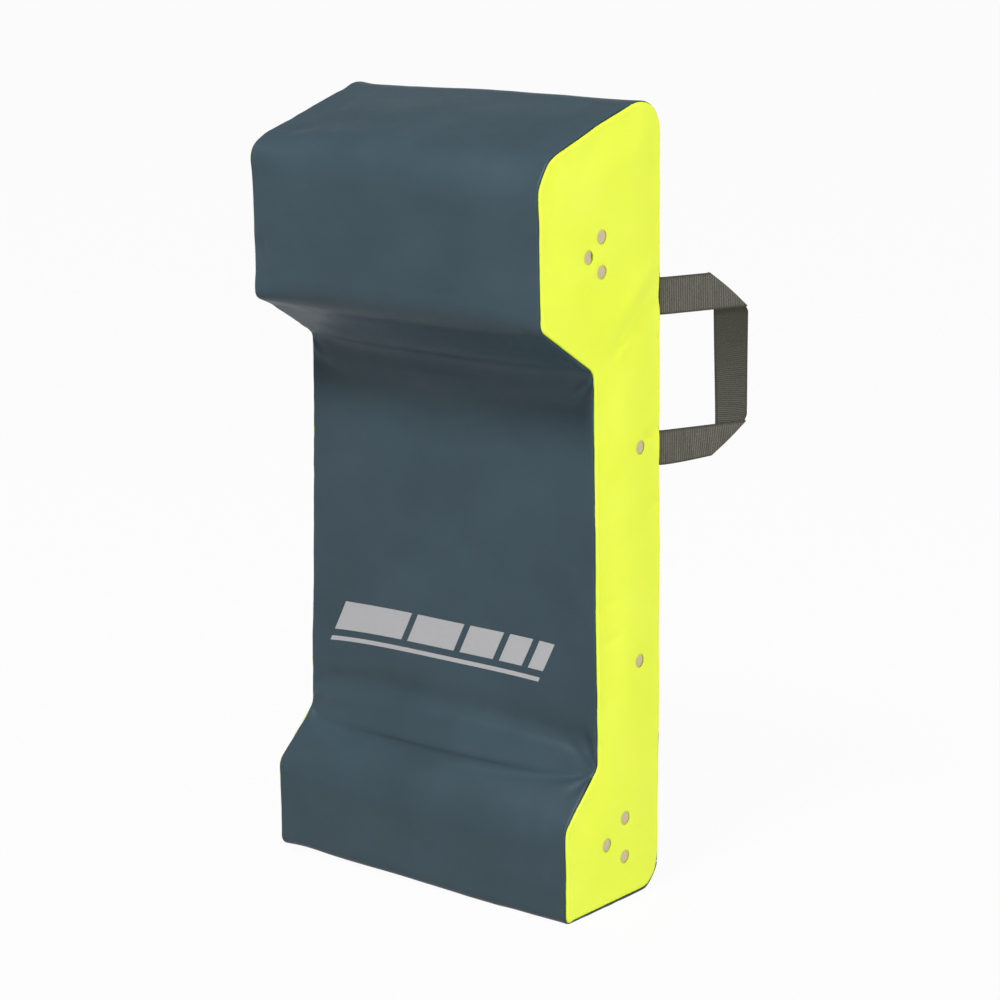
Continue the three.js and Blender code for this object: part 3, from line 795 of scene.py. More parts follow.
def bands(tree, place, spacing, direction):
    """Even ribs, a spacing apart."""
    values = {"Vector": place, "Scale": 2 * math.pi / (WAVE_TEXTURE_SCALE * spacing), "Distortion": 0.0}
    settings = dict(wave_type="BANDS", bands_direction=direction, wave_profile="SIN")
    return add_node(tree, "ShaderNodeTexWave", values, **settings).outputs["Fac"]


def coated_fabric(name, deep, pale, edge):
    """Coated cloth: a fine pebbled skin over a faint scrim, soft smudges, gathers along its seams, and
    painted shade where it turns at its seams and vent rims.
    """
    material, tree, shader = new_material(name, CLOTH_ROUGHNESS, Specular_IOR_Level=CLOTH_SPECULAR)
    place, seam = fabric_place(tree), fabric_place(tree, "seam")
    from_seam, _ = split(tree, seam)
    plain = blend_colours(tree, remap(tree, noise(tree, place, MOTTLE), NOISE_SHARES), deep, pale)
    # Painted shade in the edge colour, where the cloth turns at its seams and vent rims
    turned = remap(tree, from_seam, (CORNER_START, CORNER_START + SEAM_SHADE_REACH))
    smudge = remap(tree, noise(tree, place, SMUDGES), SMUDGE_SHARES, SMUDGE_ROUGHNESS)
    scrim = math_node(tree, "ADD", *(bands(tree, place, SCRIM_SPACING, way) for way in "XY"))
    gathers = noise(tree, stretched(tree, seam, GATHER_REACH, GATHER_SPACING), GATHERS)
    gathers = product(tree, gathers, remap(tree, from_seam, (CORNER_START, GATHER_REACH), FADING_SHARES))
    normal = bump(tree, noise(tree, place, PEBBLES), PEBBLE_BUMP)
    normal = bump(tree, scrim, SCRIM_BUMP, normal)
    normal = bump(tree, noise(tree, place, CRUMPLES), CRUMPLE_BUMP, normal)
    normal = bump(tree, gathers, GATHER_BUMP, normal)
    wire(tree, shader, Base_Color=blend_colours(tree, turned, edge, plain), Roughness=smudge, Normal=normal)
    return material


def foam_material():
    material, tree, shader = new_material("foam", FOAM_ROUGHNESS)
    place = position(tree)
    pores = add_node(tree, "ShaderNodeTexVoronoi", {"Vector": place, "Scale": 1 / FOAM_PORE_SIZE})
    depth = pores.outputs["Distance"]
    grain = remap(tree, noise(tree, place, FOAM_GRAIN), NOISE_SHARES, GRAIN_TINT_SHARES)
    tint = product(tree, remap(tree, depth, PORE_SHARES, PORE_TINT_SHARES), grain)
    colour = blend_colours(tree, tint, FOAM_DEEP, FOAM)
    wire(tree, shader, Base_Color=colour, Normal=bump(tree, depth, FOAM_BUMP))
    return material


def webbing_material(name, deep, pale, rib_spacing):
    """Woven tape: uneven ribs, fine lengthways yarns, darker selvedges, and painted shade on the grip,
    darkest at its top under the upper leg.
    """
    shine = dict(Sheen_Weight=WEBBING_SHEEN, Sheen_Roughness=SHEEN_ROUGHNESS)
    shine["Specular_IOR_Level"] = CLOTH_SPECULAR
    material, tree, shader = new_material(name, WEBBING_ROUGHNESS, **shine)
    place = fabric_place(tree)
    # The wear layer carries the painted shade of the grip, and the selvedges
    painted_grip_shade, selvedge = split(tree, fabric_place(tree, "wear"))
    ribs = bands(tree, place, rib_spacing, "X")
    yarns = bands(tree, place, rib_spacing * YARN_SHARE, "Y")
    uneven_ribs = noise(tree, stretched(tree, place, RIB_UNEVEN_LENGTH, WEBBING_WIDTH), RIB_NOISE)
    weave = product(tree, ribs, remap(tree, yarns, WHOLE_SHARES, GRAIN_TINT_SHARES), uneven_ribs)
    fuzz = remap(tree, noise(tree, place, FUZZ), NOISE_SHARES, GRAIN_TINT_SHARES)
    tint = product(
        tree,
        remap(tree, weave, WEAVE_SHARES, WEAVE_TINT_SHARES),
        fuzz,
        remap(tree, selvedge, WHOLE_SHARES, SELVEDGE_TINT_SHARES),
        remap(tree, painted_grip_shade, WHOLE_SHARES, FADING_SHARES),
    )
    normal = bump(tree, fuzz, FUZZ_BUMP, bump(tree, weave, RIB_BUMP))
    wire(tree, shader, Base_Color=blend_colours(tree, tint, deep, pale), Normal=normal)
    return material


def moulded_plastic():
    material, tree, shader = new_material("zip_teeth", PLASTIC_ROUGHNESS)
    grain = noise(tree, position(tree), MOULD_GRAIN)
    colour = blend_colours(tree, grain, ZIP_TOOTH, ZIP_CLOTH_PALE)
    wire(tree, shader, Base_Color=colour, Normal=bump(tree, grain, MOULD_BUMP))
    return material


def worn_metal():
    material, tree, shader = new_material("zip_metal", METAL_ROUGHNESS, Metallic=1)
    place = position(tree)
    wear = noise(tree, place, METAL_WEAR)
    colour = blend_colours(tree, wear, METAL_DARK, METAL)
    roughness = remap(tree, wear, NOISE_SHARES, METAL_WEAR_ROUGHNESS)
    normal = bump(tree, noise(tree, place, PEBBLES), METAL_BUMP)
    wire(tree, shader, Base_Color=colour, Roughness=roughness, Normal=normal)
    return material


def printed_ink():
    """Silver-grey ink, a little worn where the cloth's pebbles stand out."""
    material, tree, shader = new_material("print_ink", INK_ROUGHNESS)
    place = position(tree)
    colour = blend_colours(tree, noise(tree, place, INK_WEAR), INK_DEEP, INK)
    normal = bump(tree, noise(tree, place, PEBBLES), PEBBLE_BUMP)
    wire(tree, shader, Base_Color=colour, Normal=normal)
    return material


slate_cloth = coated_fabric("slate_cloth", SLATE, SLATE_PALE, SLATE_SEAM_SHADE)
neon_cloth = coated_fabric("neon_cloth", NEON_DEEP, NEON, NEON_SEAM_SHADE)
foam_cells = foam_material()
handle_webbing = webbing_material("handle_webbing", WEBBING_DEEP, WEBBING, RIB_SPACING)
zip_cloth = webbing_material("zip_cloth", ZIP_CLOTH, ZIP_CLOTH_PALE, ZIP_RIB_SPACING)
tooth_plastic = moulded_plastic()
zip_metal = worn_metal()
print_ink = printed_ink()


# Front cover


def across_places():
    """Places of the columns across the shield, close together at the seams."""
    distances = [*CORNER_RINGS, *graded(CORNER_REACH, HALF_WIDTH, COLUMN_SPACING)]
    half = [HALF_WIDTH - d for d in distances if HALF_WIDTH - d > COLUMN_SPACING / 2]
    return np.array([-x for x in half] + [0] + half[::-1])


def cover_base(lengths, places, foam=False):
    """Rows and columns of the cover without its folds, or of the foam's faces under it."""
    tau = tau_at(lengths)
    depth = FOAM_DEPTH if foam else 0
    points = np.empty((len(lengths), len(places), 3))
    for column, x in enumerate(places):
        share = 1 - abs(x / HALF_WIDTH) ** FLATNESS_POWER
        line = outline_points(share, tau, foam)
        line += line_normals(line) * (CROWN * share * crown_amount(tau) - depth)[:, None]
        points[:, column] = np.column_stack([np.full(len(tau), x), line])
    return points


def settled_cloth():
    """Cloth of the front cover, pulled over the foam between its seams by simulation.

    Gives the lengths and places of its grid, and how far each point has moved.
    """
    lengths = even_places(0, COVER_LENGTH, CLOTH_SPACING)
    places = even_places(-HALF_WIDTH, HALF_WIDTH, CLOTH_SPACING)
    start = cover_base(lengths, places)
    faces = grid_faces(*start.shape[:2])
    foam = mesh_object("foam_form", cover_base(lengths, places, foam=True), faces)
    foam.modifiers.new("collision", "COLLISION")
    foam.collision.thickness_outer = CLOTH_CLEARANCE
    cloth = mesh_object("cloth_form", start, faces)
    index = np.arange(start[..., 0].size).reshape(start.shape[:2])
    seams = np.concatenate([index[0], index[-1], index[:, 0], index[:, -1]])
    cloth.vertex_groups.new(name="seams").add(seams.tolist(), 1, "REPLACE")
    modifier = cloth.modifiers.new("cloth", "CLOTH")
    for key, value in CLOTH_SETTINGS.items():
        setattr(modifier.settings, key, value)
    modifier.settings.vertex_group_mass = "seams"
    modifier.settings.effector_weights.gravity = 0
    modifier.collision_settings.distance_min = CLOTH_CLEARANCE
    for step in range(1, CLOTH_FRAMES + 1):
        bpy.context.scene.frame_set(step)
    settled = cloth.evaluated_get(bpy.context.evaluated_depsgraph_get()).data
    moved = softened(vertex_values(settled, "co").reshape(start.shape) - start)
    bpy.context.scene.frame_set(1)
    for form in (cloth, foam):
        bpy.data.objects.remove(form)
    far = np.linalg.norm(moved, axis=-1, keepdims=True)
    return lengths, places, moved * np.minimum(1, CLOTH_MOST_MOVE / np.maximum(far, SMALLEST_GAP))


def softened(values):
    """A grid of values, each replaced by the mean of its neighbours and itself, edges kept."""
    values = values.copy()
    for _ in range(CLOTH_SOFTENING):
        for axis in (0, 1):
            inner = np.moveaxis(values, axis, 0)
            inner[1:-1] = (inner[:-2] + 2 * inner[1:-1] + inner[2:]) / 4
    return values


def sampled(grid, s, x):
    """Values of a grid, read between its points."""
    grid_lengths, grid_places, values = grid
    row = np.interp(s, grid_lengths, np.arange(len(grid_lengths)))
    column = np.interp(x, grid_places, np.arange(len(grid_places)))
    r = np.minimum(row.astype(int), len(grid_lengths) - 2)
    c = np.minimum(column.astype(int), len(grid_places) - 2)
    down, right = (row - r)[..., None], (column - c)[..., None]
    upper = mix(values[r, c], values[r, c + 1], right)
    lower = mix(values[r + 1, c], values[r + 1, c + 1], right)
    return mix(upper, lower, down)


def along_fold(values, across):
    """Values between the left seam, the middle and the right seam."""
    left, middle, right = values
    bow = np.sin(math.pi * across) ** FOLD_BOW_POWER
    return mix(left, right, across) + (middle - (left + right) / 2) * bow


def fold_height(fold, s, x):
    across = np.clip((x + HALF_WIDTH) / (2 * HALF_WIDTH), 0, 1)
    width = along_fold(fold.widths, across)
    distance = (s - corner_length(fold.corner) - along_fold(fold.places, across)) / width
    height = fold.height * (width / max(fold.widths)) ** FOLD_WIDTH_POWER
    return height * np.exp(-(distance**2)) * smooth((HALF_WIDTH - np.abs(x)) / FOLD_FADE)


def dimple_height(dimple, s, x):
    along = (s - corner_length(dimple.corner) - dimple.past) / dimple.along
    across = (x - dimple.place) / dimple.across
    return dimple.height * np.exp(-(along**2) - across**2)


def fan_height(fan, s, x):
    along, across = s - corner_length(fan.corner), np.abs(x - fan.place)
    away = np.hypot(along, across) / fan.reach
    rays = np.sin(fan.rays * np.arctan2(along, across) + away)
    return fan.height * rays * away * np.exp(1 - away**2)


def crease_height(crease, places):
    """Height of a straight crease at places (y, z)."""
    start, end = np.array(crease.start), np.array(crease.end)
    run = end - start
    part = ((places - start) @ run) / (run @ run)
    away = np.abs((places - start) @ np.array([-run[1], run[0]])) / np.linalg.norm(run) / crease.width
    near_end, far_end = CREASE_TAPER * part, CREASE_TAPER * (1 - part) + CREASE_BLUNTNESS
    return crease.height * np.exp(-(away**2)) * smooth(near_end) * smooth(far_end)


def uneven(ripples, along, across, edge, shift):
    """Soft bumps of slack cloth, which fade out at the seams."""
    height = 0
    for ripple in ripples.values():
        bumps = soft_noise(along / ripple.along + shift, across / ripple.across + shift, ripple.seed)
        height = height + ripple.height * bumps * smooth(edge / ripple.fade)
    return height


def puckered(along, edge, shift):
    """Gathers that run in from a seam."""
    gathers = soft_noise(along / PUCKERS.along + shift, 0 * along + shift, PUCKERS.seed)
    return PUCKERS.height * gathers * np.exp(-((edge / PUCKERS.fade) ** 2))


def cover_relief(s, x):
    """How far the cloth stands out from its plain shape: slack, puckers at the seams, and folds."""
    edge = HALF_WIDTH - np.abs(x)
    height = uneven(COVER_RIPPLES, s, x, edge, 0) + puckered(s, edge, np.sign(x))
    for height_of, shapes in ((fold_height, FOLDS), (dimple_height, DIMPLES), (fan_height, FANS)):
        height += sum(height_of(shape, s, x) for shape in shapes.values())
    return height


def front_cover():
    lengths, places = between_seams(0, COVER_LENGTH), across_places()
    s, x = np.meshgrid(lengths, places, indexing="ij")
    points = cover_base(lengths, places) + sampled(settled_cloth(), s, x)
    edge, end = HALF_WIDTH - np.abs(x), np.minimum(s, COVER_LENGTH - s)
    height = cover_relief(s, x) - roll(edge, CORNER_REACH) - roll(end, FLAT_REACH)
    points = as_sewn(points + grid_normals(points) * height[..., None])
    seam = np.stack([np.minimum(edge, end + CORNER_START), s], -1)
    piece = sheet("cover_front", points, 1, FABRIC_THICKNESS, fabric=np.stack([x, s], -1), seam=seam)
    finish_piece(piece, slate_cloth, "shield", "slate_cover", "front_cover", fill=COVER_FILL)
    return lengths, places, points


def print_patch(surface, left, top, width, height):
    """Points and faces of one slanted patch, in the surface of the cover."""
    down = even_places(0, 1, PRINT_SPACING / height)
    across = even_places(0, 1, PRINT_SPACING / width)
    t, u = np.meshgrid(down, across, indexing="ij")
    points = sampled(surface, top + t * height, left + u * width - t * height * PRINT_SLANT)
    return points + grid_normals(points) * PRINT_LIFT, grid_faces(*t.shape)


def front_print(surface):
    """A plain print: slanted bars, each narrower than the last, over a thin line."""
    top = corner_length(RECESS_FOOT) - PRINT_RISE
    left = PRINT_LEFT
    patches = []
    for width in PRINT_BAR_WIDTHS:
        patches.append((left, top, width, PRINT_BAR_HEIGHT))
        left += width + PRINT_GAP
    drop = PRINT_BAR_HEIGHT + PRINT_GAP
    width = left - PRINT_GAP - PRINT_LEFT
    patches.append((PRINT_LEFT - drop * PRINT_SLANT, top + drop, width, PRINT_LINE_HEIGHT))
    points, faces = np.empty((0, 3)), []
    for patch in patches:
        patch_points, patch_faces = print_patch(surface, *patch)
        faces.append(patch_faces + len(points))
        points = np.vstack([points, patch_points.reshape(-1, 3)])
    piece = mesh_object("front_print", points, np.vstack(faces))
    thicken(piece, PRINT_LIFT / 2)
    finish_piece(piece, print_ink, "shield", None)


# Side panels


def vent_centres():
    """Places (y, z) of the vents in a side panel."""
    centres = []
    for depth, height, spread, forward in (UPPER_TRIO, LOWER_TRIO):
        for way in (1, 0, -1):
            centres.append((depth + forward * (way == 0), height + way * spread / 2))
    centres += [(MIDDLE_VENT_DEPTH, height) for height in MIDDLE_VENT_HEIGHTS]
    return np.array([(BACK_Y - depth, height) for depth, height in centres])


VENTS = vent_centres()


def from_vents(places):
    """Distances to the middle of the nearest vent."""
    return np.linalg.norm(places[:, None] - VENTS, axis=-1).min(1)


def panel_loop(distance):
    """The whole outline, back edge included, moved inwards."""
    tau, lengths = length_table(2 * len(OUTLINE))
    count = round(lengths[-1] / ROW_SPACING)
    places = np.interp(np.linspace(0, lengths[-1], count, endpoint=False), lengths, tau)
    line = outline_points(0, places)
    closed = np.vstack([line[-1:], line, line[:1]])
    return line - line_normals(closed)[1:-1] * distance


def distance_to_loop(points, loop):
    """Distances to a closed line, whether each point is inside, and its nearest place along the line."""
    edge = np.roll(loop, -1, axis=0) - loop
    offset = points[:, None] - loop
    along = np.clip((offset * edge).sum(-1) / (edge**2).sum(-1), 0, 1)
    distances = np.linalg.norm(offset - along[..., None] * edge, axis=-1)
    crosses = (offset[..., 1] < 0) != (offset[..., 1] < edge[:, 1])
    slope = edge[:, 0] / np.where(edge[:, 1] == 0, 1, edge[:, 1])
    inside = (crosses & (offset[..., 0] < offset[..., 1] * slope)).sum(1) % 2 == 1
    return distances.min(1), inside, distances.argmin(1) * ROW_SPACING


def vent_circle(centre, rim):
    angle = np.linspace(0, 2 * math.pi, VENT_POINTS, endpoint=False)
    return centre + (VENT_RADIUS + rim) * np.column_stack([np.cos(angle), np.sin(angle)])


def side_points():
    """Flat points of a side panel, the triangles between them, and the loop that bounds them."""
    rings = [panel_loop(distance) for distance in (*CORNER_RINGS, CORNER_REACH + EDGE_SPACING)]
    holes = [[vent_circle(centre, rim) for rim in VENT_RIMS] for centre in VENTS]
    ideal = panel_loop(0)
    low, high = ideal.min(0), ideal.max(0)
    step = np.array([PANEL_SPACING, PANEL_SPACING * math.sqrt(3) / 2])
    columns, rows = np.ceil((high - low) / step).astype(int)
    lattice = np.array([low + step * (i + (j % 2) / 2, j) for j in range(rows) for i in range(columns)])
    away, inside, _ = distance_to_loop(lattice, ideal)
    inside &= away > CORNER_REACH + 2 * EDGE_SPACING
    inside &= from_vents(lattice) > VENT_RADIUS + VENT_RIMS[-1] + PANEL_SPACING / 2
    loops = [rings[0], *[hole[0] for hole in holes]]
    loose = [*rings[1:], *[ring for hole in holes for ring in hole[1:]], lattice[inside]]
    edges, start = [], 0
    for loop in loops:
        edges += [(start + i, start + (i + 1) % len(loop)) for i in range(len(loop))]
        start += len(loop)
    points = [Vector(point) for point in np.vstack([*loops, *loose])]
    found, _, faces, *_ = delaunay_2d_cdt(points, edges, [], 0, SMALLEST_GAP)
    found = np.array([tuple(point) for point in found])
    triangles = np.array([face for face in faces if len(face) == 3])
    middles = found[triangles].mean(1)
    _, within, _ = distance_to_loop(middles, rings[0])
    within &= from_vents(middles) > VENT_RADIUS * math.cos(math.pi / VENT_POINTS) - SMALLEST_GAP
    return found, triangles[within], ideal


SIDE_POINTS, SIDE_TRIANGLES, SIDE_LOOP = side_points()


def side_relief(places, shift):
    """How far a side panel stands out at places (y, z), and the seam's distance and place there."""
    away, _, along = distance_to_loop(places, SIDE_LOOP)
    rim = np.maximum(from_vents(places) - VENT_RADIUS, 0)
    height = SIDE_FULLNESS * smooth((away - CORNER_REACH) / SIDE_FULLNESS_REACH)
    height -= roll(away, CORNER_REACH) + RIM_DIP * np.exp(-((rim / RIM_DIP_REACH) ** 2))
    height += uneven(SIDE_RIPPLES, *places.T, away, shift) + puckered(along, away, shift)
    height += sum(crease_height(crease, places) for crease in SIDE_CREASES.values())
    return height, np.stack([np.minimum(away, rim + CORNER_START), along], -1)


def side_panel(name, side):
    height, seam = side_relief(SIDE_POINTS, SIDE_SHIFT * side)
    points = as_sewn(np.column_stack([side * (HALF_WIDTH + height), SIDE_POINTS]))
    layers = {"fabric": SIDE_POINTS, "seam": seam}
    piece = mesh_object(f"cover_side_{name}", points, SIDE_TRIANGLES[:, ::side], **layers)
    thicken(piece, FABRIC_THICKNESS)
    finish_piece(piece, neon_cloth, "shield", "neon_cover", f"side_panel_{name}", fill=COVER_FILL)


# Back panels


def back_panel(name, side):
    low, high = BACK_SEAM_HEIGHTS
    inner = [*FLAT_RINGS, *graded(FLAT_REACH, HALF_WIDTH - CORNER_REACH - EDGE_SPACING, COLUMN_SPACING)]
    places = np.array([*inner, *(HALF_WIDTH - CORNER_RINGS)[::-1]])
    z, x = np.meshgrid(between_seams(low, high), places, indexing="ij")
    edge, end = HALF_WIDTH - x, np.minimum(z - low, high - z)
    taper = smooth((z - ZIP_HEIGHTS[0]) / OPENING_TAPER) * smooth((ZIP_HEIGHTS[1] - z) / OPENING_TAPER)
    opened = x + ZIP_OPENING * taper * edge / HALF_WIDTH
    height = uneven(BACK_RIPPLES, x, z, np.minimum(x, edge), SIDE_SHIFT * side)
    height += puckered(z, edge, SIDE_SHIFT * side)
    height -= roll(x, FLAT_REACH) + roll(edge, CORNER_REACH) + roll(end, FLAT_REACH)
    points = as_sewn(np.stack([side * opened, BACK_Y + height, z], -1))
    seam = np.stack([np.minimum(np.minimum(x, end) + CORNER_START, edge), z], -1)
    layers = {"fabric": np.stack([x, z], -1), "seam": seam}
    piece = sheet(f"cover_back_{name}", points, side, FABRIC_THICKNESS, **layers)
    finish_piece(piece, slate_cloth, "shield", "slate_cover", f"back_panel_{name}", fill=COVER_FILL)


# Foam


def foam_block(node):
    """The foam block, copied from the solid, with soft edges and its faces kept under the cover."""
    piece = copy_of(node, node.replace("foam_", "foam_core_"))
    remesh = piece.modifiers.new("cells", "REMESH")
    remesh.mode = "VOXEL"
    remesh.voxel_size = FOAM_CELL
    apply_modifiers(piece)
    points, normals = vertex_values(piece.data, "co"), vertex_values(piece.data, "normal")
    away, _, along = distance_to_loop(points[:, 1:], SIDE_LOOP)
    pressed = FOAM_INSET - np.minimum(cover_relief(along, points[:, 0]), 0)
    points -= normals * np.where(away > FOAM_INSET, 0, pressed)[:, None]
    for side in SIDES.values():
        facing = normals[:, 0] * side > FACING_SHARE
        height, _ = side_relief(points[facing, 1:], SIDE_SHIFT * side)
        points[facing, 0] = side * (HALF_WIDTH + height - FABRIC_THICKNESS - FOAM_SIDE_INSET)
    piece.data.vertices.foreach_set("co", as_sewn(points).ravel())
    piece.data.update()
    piece.data.shade_smooth()
    finish_piece(piece, foam_cells, "shield", "foam", node, fill=FOAM_FILL)


# Handles


def strap_plan(length):
    """Middle line of a handle in plan, from its sewn-in end past the bend at the seam."""
    slant = math.radians(TAIL_SLANT_DEG)
    bend = HINGE_PLACE - TAIL_REACH * np.array([math.cos(slant), math.sin(slant)])
    tail = bend - np.array([TAIL_LENGTH, 0])
    end = HINGE_PLACE + 2 * HANDLE_REACH * LEG_DIRECTION
    corners = np.vstack([tail, bend, HINGE_PLACE, end])
    lengths = np.array([-TAIL_REACH - TAIL_LENGTH, -TAIL_REACH, 0, 2 * HANDLE_REACH])
    line = 0
    for shift in BEND_SHIFTS:
        line = line + np.stack([np.interp(length + shift, lengths, corners[:, k]) for k in (0, 1)], -1)
    return line / len(BEND_SHIFTS)


def strap_rows():
    """Rows of the upper half of a handle, each with its two edges.

    An edge is its reach, height, layer, length along the strap, and how far the fold stands out there.
    """
    straight = HANDLE_REACH - FOLD_RUN
    fold_length = math.pi * FOLD_RADIUS
    high, low = np.array([straight, STRAP_TOP]), np.array([HANDLE_REACH, LEG_FOOT])
    rows = []
    for reach in np.arange(-TAIL_REACH - TAIL_LENGTH, 0, STRAP_STEP):
        rows.append([(reach, height, 0, reach, 0) for height in (STRAP_TOP, LEG_FOOT)])
    for share in even_places(0, 1, STRAP_STEP / HANDLE_REACH)[:-1]:
        rows.append([(share * reach, height, 0, share * reach, 0) for reach, height in (high, low)])
    for angle in np.linspace(0, math.pi, FOLD_STEPS + 1):
        layer, passed, out = (f * FOLD_RADIUS for f in (math.cos(angle) - 1, angle, math.sin(angle)))
        ends = [np.array([*place, layer, place[0] + passed, out]) for place in (high, low)]
        tuck = FOLD_TUCK_SHARE * math.sin(angle)
        rows.append([mix(*ends, tuck), mix(*ends[::-1], tuck)])
    end = straight + fold_length + LEG_FOOT - STRAP_MIDDLE + (WEBBING_WIDTH + FOLD_RUN) / 2
    for share in even_places(0, 1, STRAP_STEP / (STRAP_TOP - STRAP_MIDDLE))[1:]:
        drop = share * (STRAP_TOP - STRAP_MIDDLE)
        inner = mix(straight, HANDLE_REACH - WEBBING_WIDTH, float(smooth(drop / WEBBING_WIDTH)))
        outer = HANDLE_REACH + GRIP_BULGE * float(smooth(drop / GRIP_BULGE_RUN))
        row = []
        for reach, (start, height) in ((inner, high), (outer, low)):
            along = mix(start + fold_length, end, share)
            row.append((reach, mix(height, STRAP_MIDDLE, share), -2 * FOLD_RADIUS, along, 0))
        rows.append(row)
    return np.array(rows)


def strap_edges():
    """Both edges of a whole handle, from one sewn-in end to the other."""
    upper = strap_rows()
    lower = upper[-2::-1].copy()
    lower[..., 1] = STRAP_TOP + STRAP_FOOT - lower[..., 1]
    lower[..., 3] = 2 * upper[-1, 0, 3] - lower[..., 3]
    toward_fold = smooth(lower[:, 0, 0] / HANDLE_REACH)
    for edge, shift in enumerate((LOWER_LEG_TAPER * toward_fold, -LOWER_LEG_DROP)):
        up_the_grip = smooth((lower[:, edge, 1] - lower[-1, edge, 1]) / LOWER_LEG_FADE)
        lower[:, edge, 1] += shift * (1 - up_the_grip)
    rows = np.concatenate([upper, lower])
    down = 1 - rise(rows[:, 0, 1], STRAP_FOOT, STRAP_TOP)
    rows[:, 0, 0] += GRIP_NARROWING * down * smooth(rows[:, 0, 0] / (HANDLE_REACH - FOLD_RUN))
    return rows


def handle(name, side):
    rows = strap_edges()
    across = np.linspace(0, 1, STRAP_COLUMNS + 1)[None, :]
    strip = mix(rows[:, :1], rows[:, 1:], across[..., None])
    reach, height, layer, along, out = np.moveaxis(strip, -1, 0)
    from_middle = np.abs(2 * across - 1)
    out = out * (1 - from_middle**2)
    across_fold, up_fold = unit(np.array([WEBBING_WIDTH, FOLD_RUN]))
    height = height + out * up_fold * np.where(height < STRAP_MIDDLE, -1, 1)
    reach = reach + out * across_fold
    loose = smooth(reach / HANDLE_REACH)
    sway = soft_noise(along / STRAP_SWAY_LENGTH, 0 * along + SIDE_SHIFT * side, SWAY_SEED)
    bowed = layer + (STRAP_SWAY * sway - STRAP_CURL * from_middle**2) * loose
    plan = strap_plan(reach) + bowed[..., None] * LEG_NORMAL
    points = np.stack([side * plan[..., 0], plan[..., 1], height], -1)
    if side < 0:
        points[..., 0] += leaning(height)
    # Painted shade on the grip behind the fold, darkest at its top under the upper leg; it goes into the
    # wear layer with the selvedges
    behind = np.clip(-layer / (2 * FOLD_RADIUS), 0, 1)
    painted_grip_shade = behind * mix(GRIP_SHADE_SHARE, 1, rise(height, STRAP_FOOT, STRAP_TOP))
    selvedge = smooth(1 - (1 - from_middle) * WEBBING_WIDTH / 2 / SELVEDGE_WIDTH)
    layers = {
        "fabric": np.stack(np.broadcast_arrays(along, across * WEBBING_WIDTH), -1),
        "wear": np.stack(np.broadcast_arrays(painted_grip_shade, selvedge), -1),
    }
    piece = sheet(f"webbing_handle_{name}", points, side, WEBBING_THICKNESS, offset=0, **layers)
    tails = [f"handle_tail_{leg}_{name}" for leg in ("upper", "lower")]
    finish_piece(piece, handle_webbing, None, "webbing", f"handle_strap_{name}", *tails)
    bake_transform(piece)


# Zip


def zip_tape(name):
    low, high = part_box(f"zip_tape_{name}")
    places = np.linspace(low.x, high.x, ZIP_TAPE_COLUMNS)
    z, x = np.meshgrid(np.arange(low.z, high.z, ROW_SPACING), places, indexing="ij")
    y = high.y + TAPE_WAVE * soft_noise(z / TAPE_WAVE_LENGTH, x / TAPE_WAVE_LENGTH, TAPE_SEED)
    points = np.stack([x, y, z], -1)
    layers = {"fabric": np.stack([z, x], -1), "wear": np.zeros((*z.shape, 2))}
    piece = sheet(f"zip_tape_cloth_{name}", points, 1, high.y - low.y, **layers)
    finish_piece(piece, zip_cloth, "shield", "zip_tape", f"zip_tape_{name}")


def zip_tooth():
    """Points and faces of a small block with cut corners."""
    block = bmesh.new()
    bmesh.ops.create_cube(block, size=1)
    bmesh.ops.scale(block, vec=TOOTH_SIZE, verts=block.verts)
    cut = dict(offset=TOOTH_EDGE, segments=TOOTH_SEGMENTS, profile=ROUND_PROFILE)
    bmesh.ops.bevel(block, geom=block.edges, affect="EDGES", **cut)
    points = np.array([vertex.co[:] for vertex in block.verts])
    faces = [[vertex.index for vertex in face.verts] for face in block.faces]
    block.free()
    return points, faces


def zip_teeth():
    """The closed chain: teeth of the two tapes, one after the other."""
    low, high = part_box("zip_chain")
    tooth, tooth_faces = zip_tooth()
    heights = np.arange(low.z + TOOTH_PITCH, high.z - TOOTH_PITCH / 2, TOOTH_PITCH)
    points, faces = [], []
    for number, height in enumerate(heights):
        side = 1 if number % 2 else -1
        points.append(tooth + (side * (high.x - TOOTH_SIZE[0] / 2), high.y - TOOTH_SIZE[1] / 2, height))
        faces += [[i + number * len(tooth) for i in face] for face in tooth_faces]
    piece = mesh_object("zip_chain_teeth", points, faces)
    finish_piece(piece, tooth_plastic, "shield", "zip_chain", "zip_chain")


def rounded_copy(node, body):
    """A copy of a rigid metal piece with rounded edges."""
    piece = copy_of(node, f"{node}_finished")
    shape = bmesh.new()
    shape.from_mesh(piece.data)
    bmesh.ops.remove_doubles(shape, verts=shape.verts, dist=METAL_MERGE)
    flat = math.radians(FLAT_FACE_DEG)
    bmesh.ops.dissolve_limit(shape, angle_limit=flat, verts=shape.verts, edges=shape.edges)
    shape.to_mesh(piece.data)
    shape.free()
    bevel = piece.modifiers.new("edges", "BEVEL")
    bevel.width = METAL_EDGE
    bevel.segments = METAL_SEGMENTS
    bevel.limit_method = "ANGLE"
    apply_modifiers(piece)
    finish_piece(piece, zip_metal, body, "zip_metal", node)


# Floor, camera and light


def shown_rays(tree):
    """1 where the camera, a reflection or glass looks at the surface, and 0 where it lights the object."""
    path = add_node(tree, "ShaderNodeLightPath").outputs
    seen = math_node(tree, "MAXIMUM", path["Is Camera Ray"], path["Is Glossy Ray"])
    return math_node(tree, "MAXIMUM", seen, path["Is Transmission Ray"])


def mixed_output(tree, kind, share, first, second):
    shaders = {0: share, 1: first.outputs[0], 2: second.outputs[0]}
    mixed = add_node(tree, "ShaderNodeMixShader", shaders)
    add_node(tree, kind, {"Surface": mixed.outputs[0]})


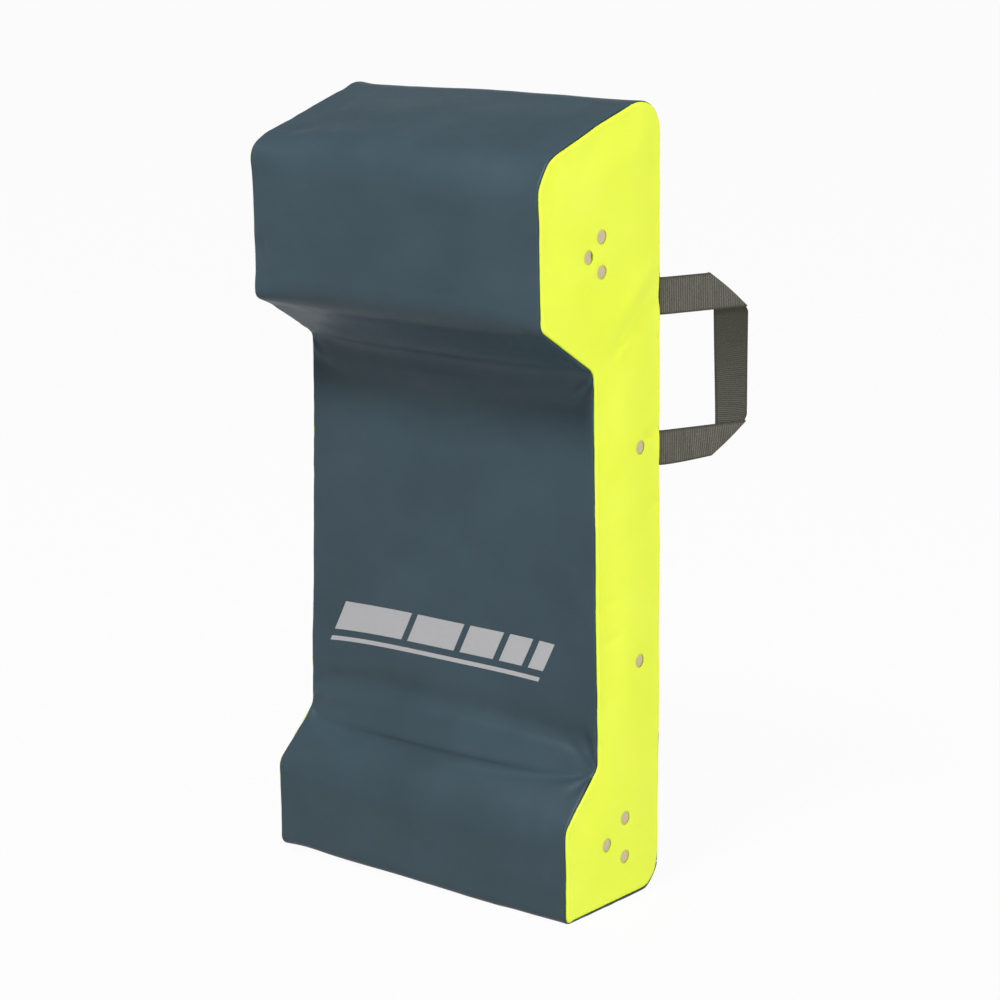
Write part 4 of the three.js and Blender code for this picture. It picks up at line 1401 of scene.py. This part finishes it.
def floor():
    half = FLOOR_SIZE / 2
    points = [(-half, -half, 0), (half, -half, 0), (half, half, 0), (-half, half, 0)]
    piece = mesh_object("floor", points, [range(len(points))])
    material = bpy.data.materials.new("floor_paper")
    material.use_nodes = True
    tree = material.node_tree
    tree.nodes.clear()
    paper = add_node(tree, "ShaderNodeBsdfDiffuse", {"Color": FLOOR_COLOUR})
    glow = add_node(tree, "ShaderNodeEmission", GLOW)
    share = product(tree, shown_rays(tree), FLOOR_GLOW_SHARE)
    mixed_output(tree, "ShaderNodeOutputMaterial", share, paper, glow)
    piece.data.materials.append(material)


def world():
    """A white backdrop all round, under a dimmer ceiling that only reflections show."""
    studio = bpy.data.worlds.new("studio")
    studio.use_nodes = True
    bpy.context.scene.world = studio
    tree = studio.node_tree
    tree.nodes.clear()
    height = add_node(tree, "ShaderNodeSeparateXYZ", {0: position(tree, "Generated")}).outputs[2]
    backdrop = remap(tree, height, BACKDROP_HEIGHTS, FADING_SHARES)
    camera_ray = add_node(tree, "ShaderNodeLightPath").outputs["Is Camera Ray"]
    shown = math_node(tree, "MAXIMUM", camera_ray, product(tree, shown_rays(tree), backdrop))
    light = add_node(tree, "ShaderNodeBackground", {"Color": WHITE, "Strength": WORLD_LIGHT})
    seen = add_node(tree, "ShaderNodeBackground", GLOW)
    mixed_output(tree, "ShaderNodeOutputWorld", shown, light, seen)


def lamp(name, place, size, power):
    light = bpy.data.lights.new(name, "AREA")
    light.shape = "SQUARE"
    light.size = size
    light.energy = power
    piece = bpy.data.objects.new(name, light)
    piece.location = place
    piece.rotation_euler = (Vector(LAMP_AIM) - Vector(place)).to_track_quat("-Z", "Y").to_euler()
    bpy.context.scene.collection.objects.link(piece)


def camera():
    yaw, pitch, tilt = (math.radians(a) for a in (CAMERA_YAW_DEG, CAMERA_PITCH_DEG, CAMERA_ROLL_DEG))
    piece = bpy.data.objects.new("camera", bpy.data.cameras.new("camera"))
    piece.data.lens = CAMERA_LENS
    piece.data.sensor_width = CAMERA_SENSOR
    piece.data.clip_end = FLOOR_SIZE
    turn = Matrix.Rotation(yaw, 4, "Z") @ Matrix.Rotation(math.pi / 2 - pitch, 4, "X")
    piece.matrix_world = Matrix.Translation(CAMERA_PLACE) @ turn @ Matrix.Rotation(tilt, 4, "Z")
    bpy.context.scene.collection.objects.link(piece)
    bpy.context.scene.camera = piece


bpy.context.scene.view_settings.view_transform = "Standard"
camera()
floor()
world()
for lamp_name, lamp_values in LAMPS.items():
    lamp(lamp_name, *lamp_values)

front_print(front_cover())
for side_name, side_sign in SIDES.items():
    side_panel(side_name, side_sign)
    back_panel(side_name, side_sign)
    handle(side_name, side_sign)
    zip_tape(side_name)
for foam_node in FOAM_NODES:
    foam_block(foam_node)
zip_teeth()
for metal_node, metal_body in METAL_NODES.items():
    rounded_copy(metal_node, metal_body)
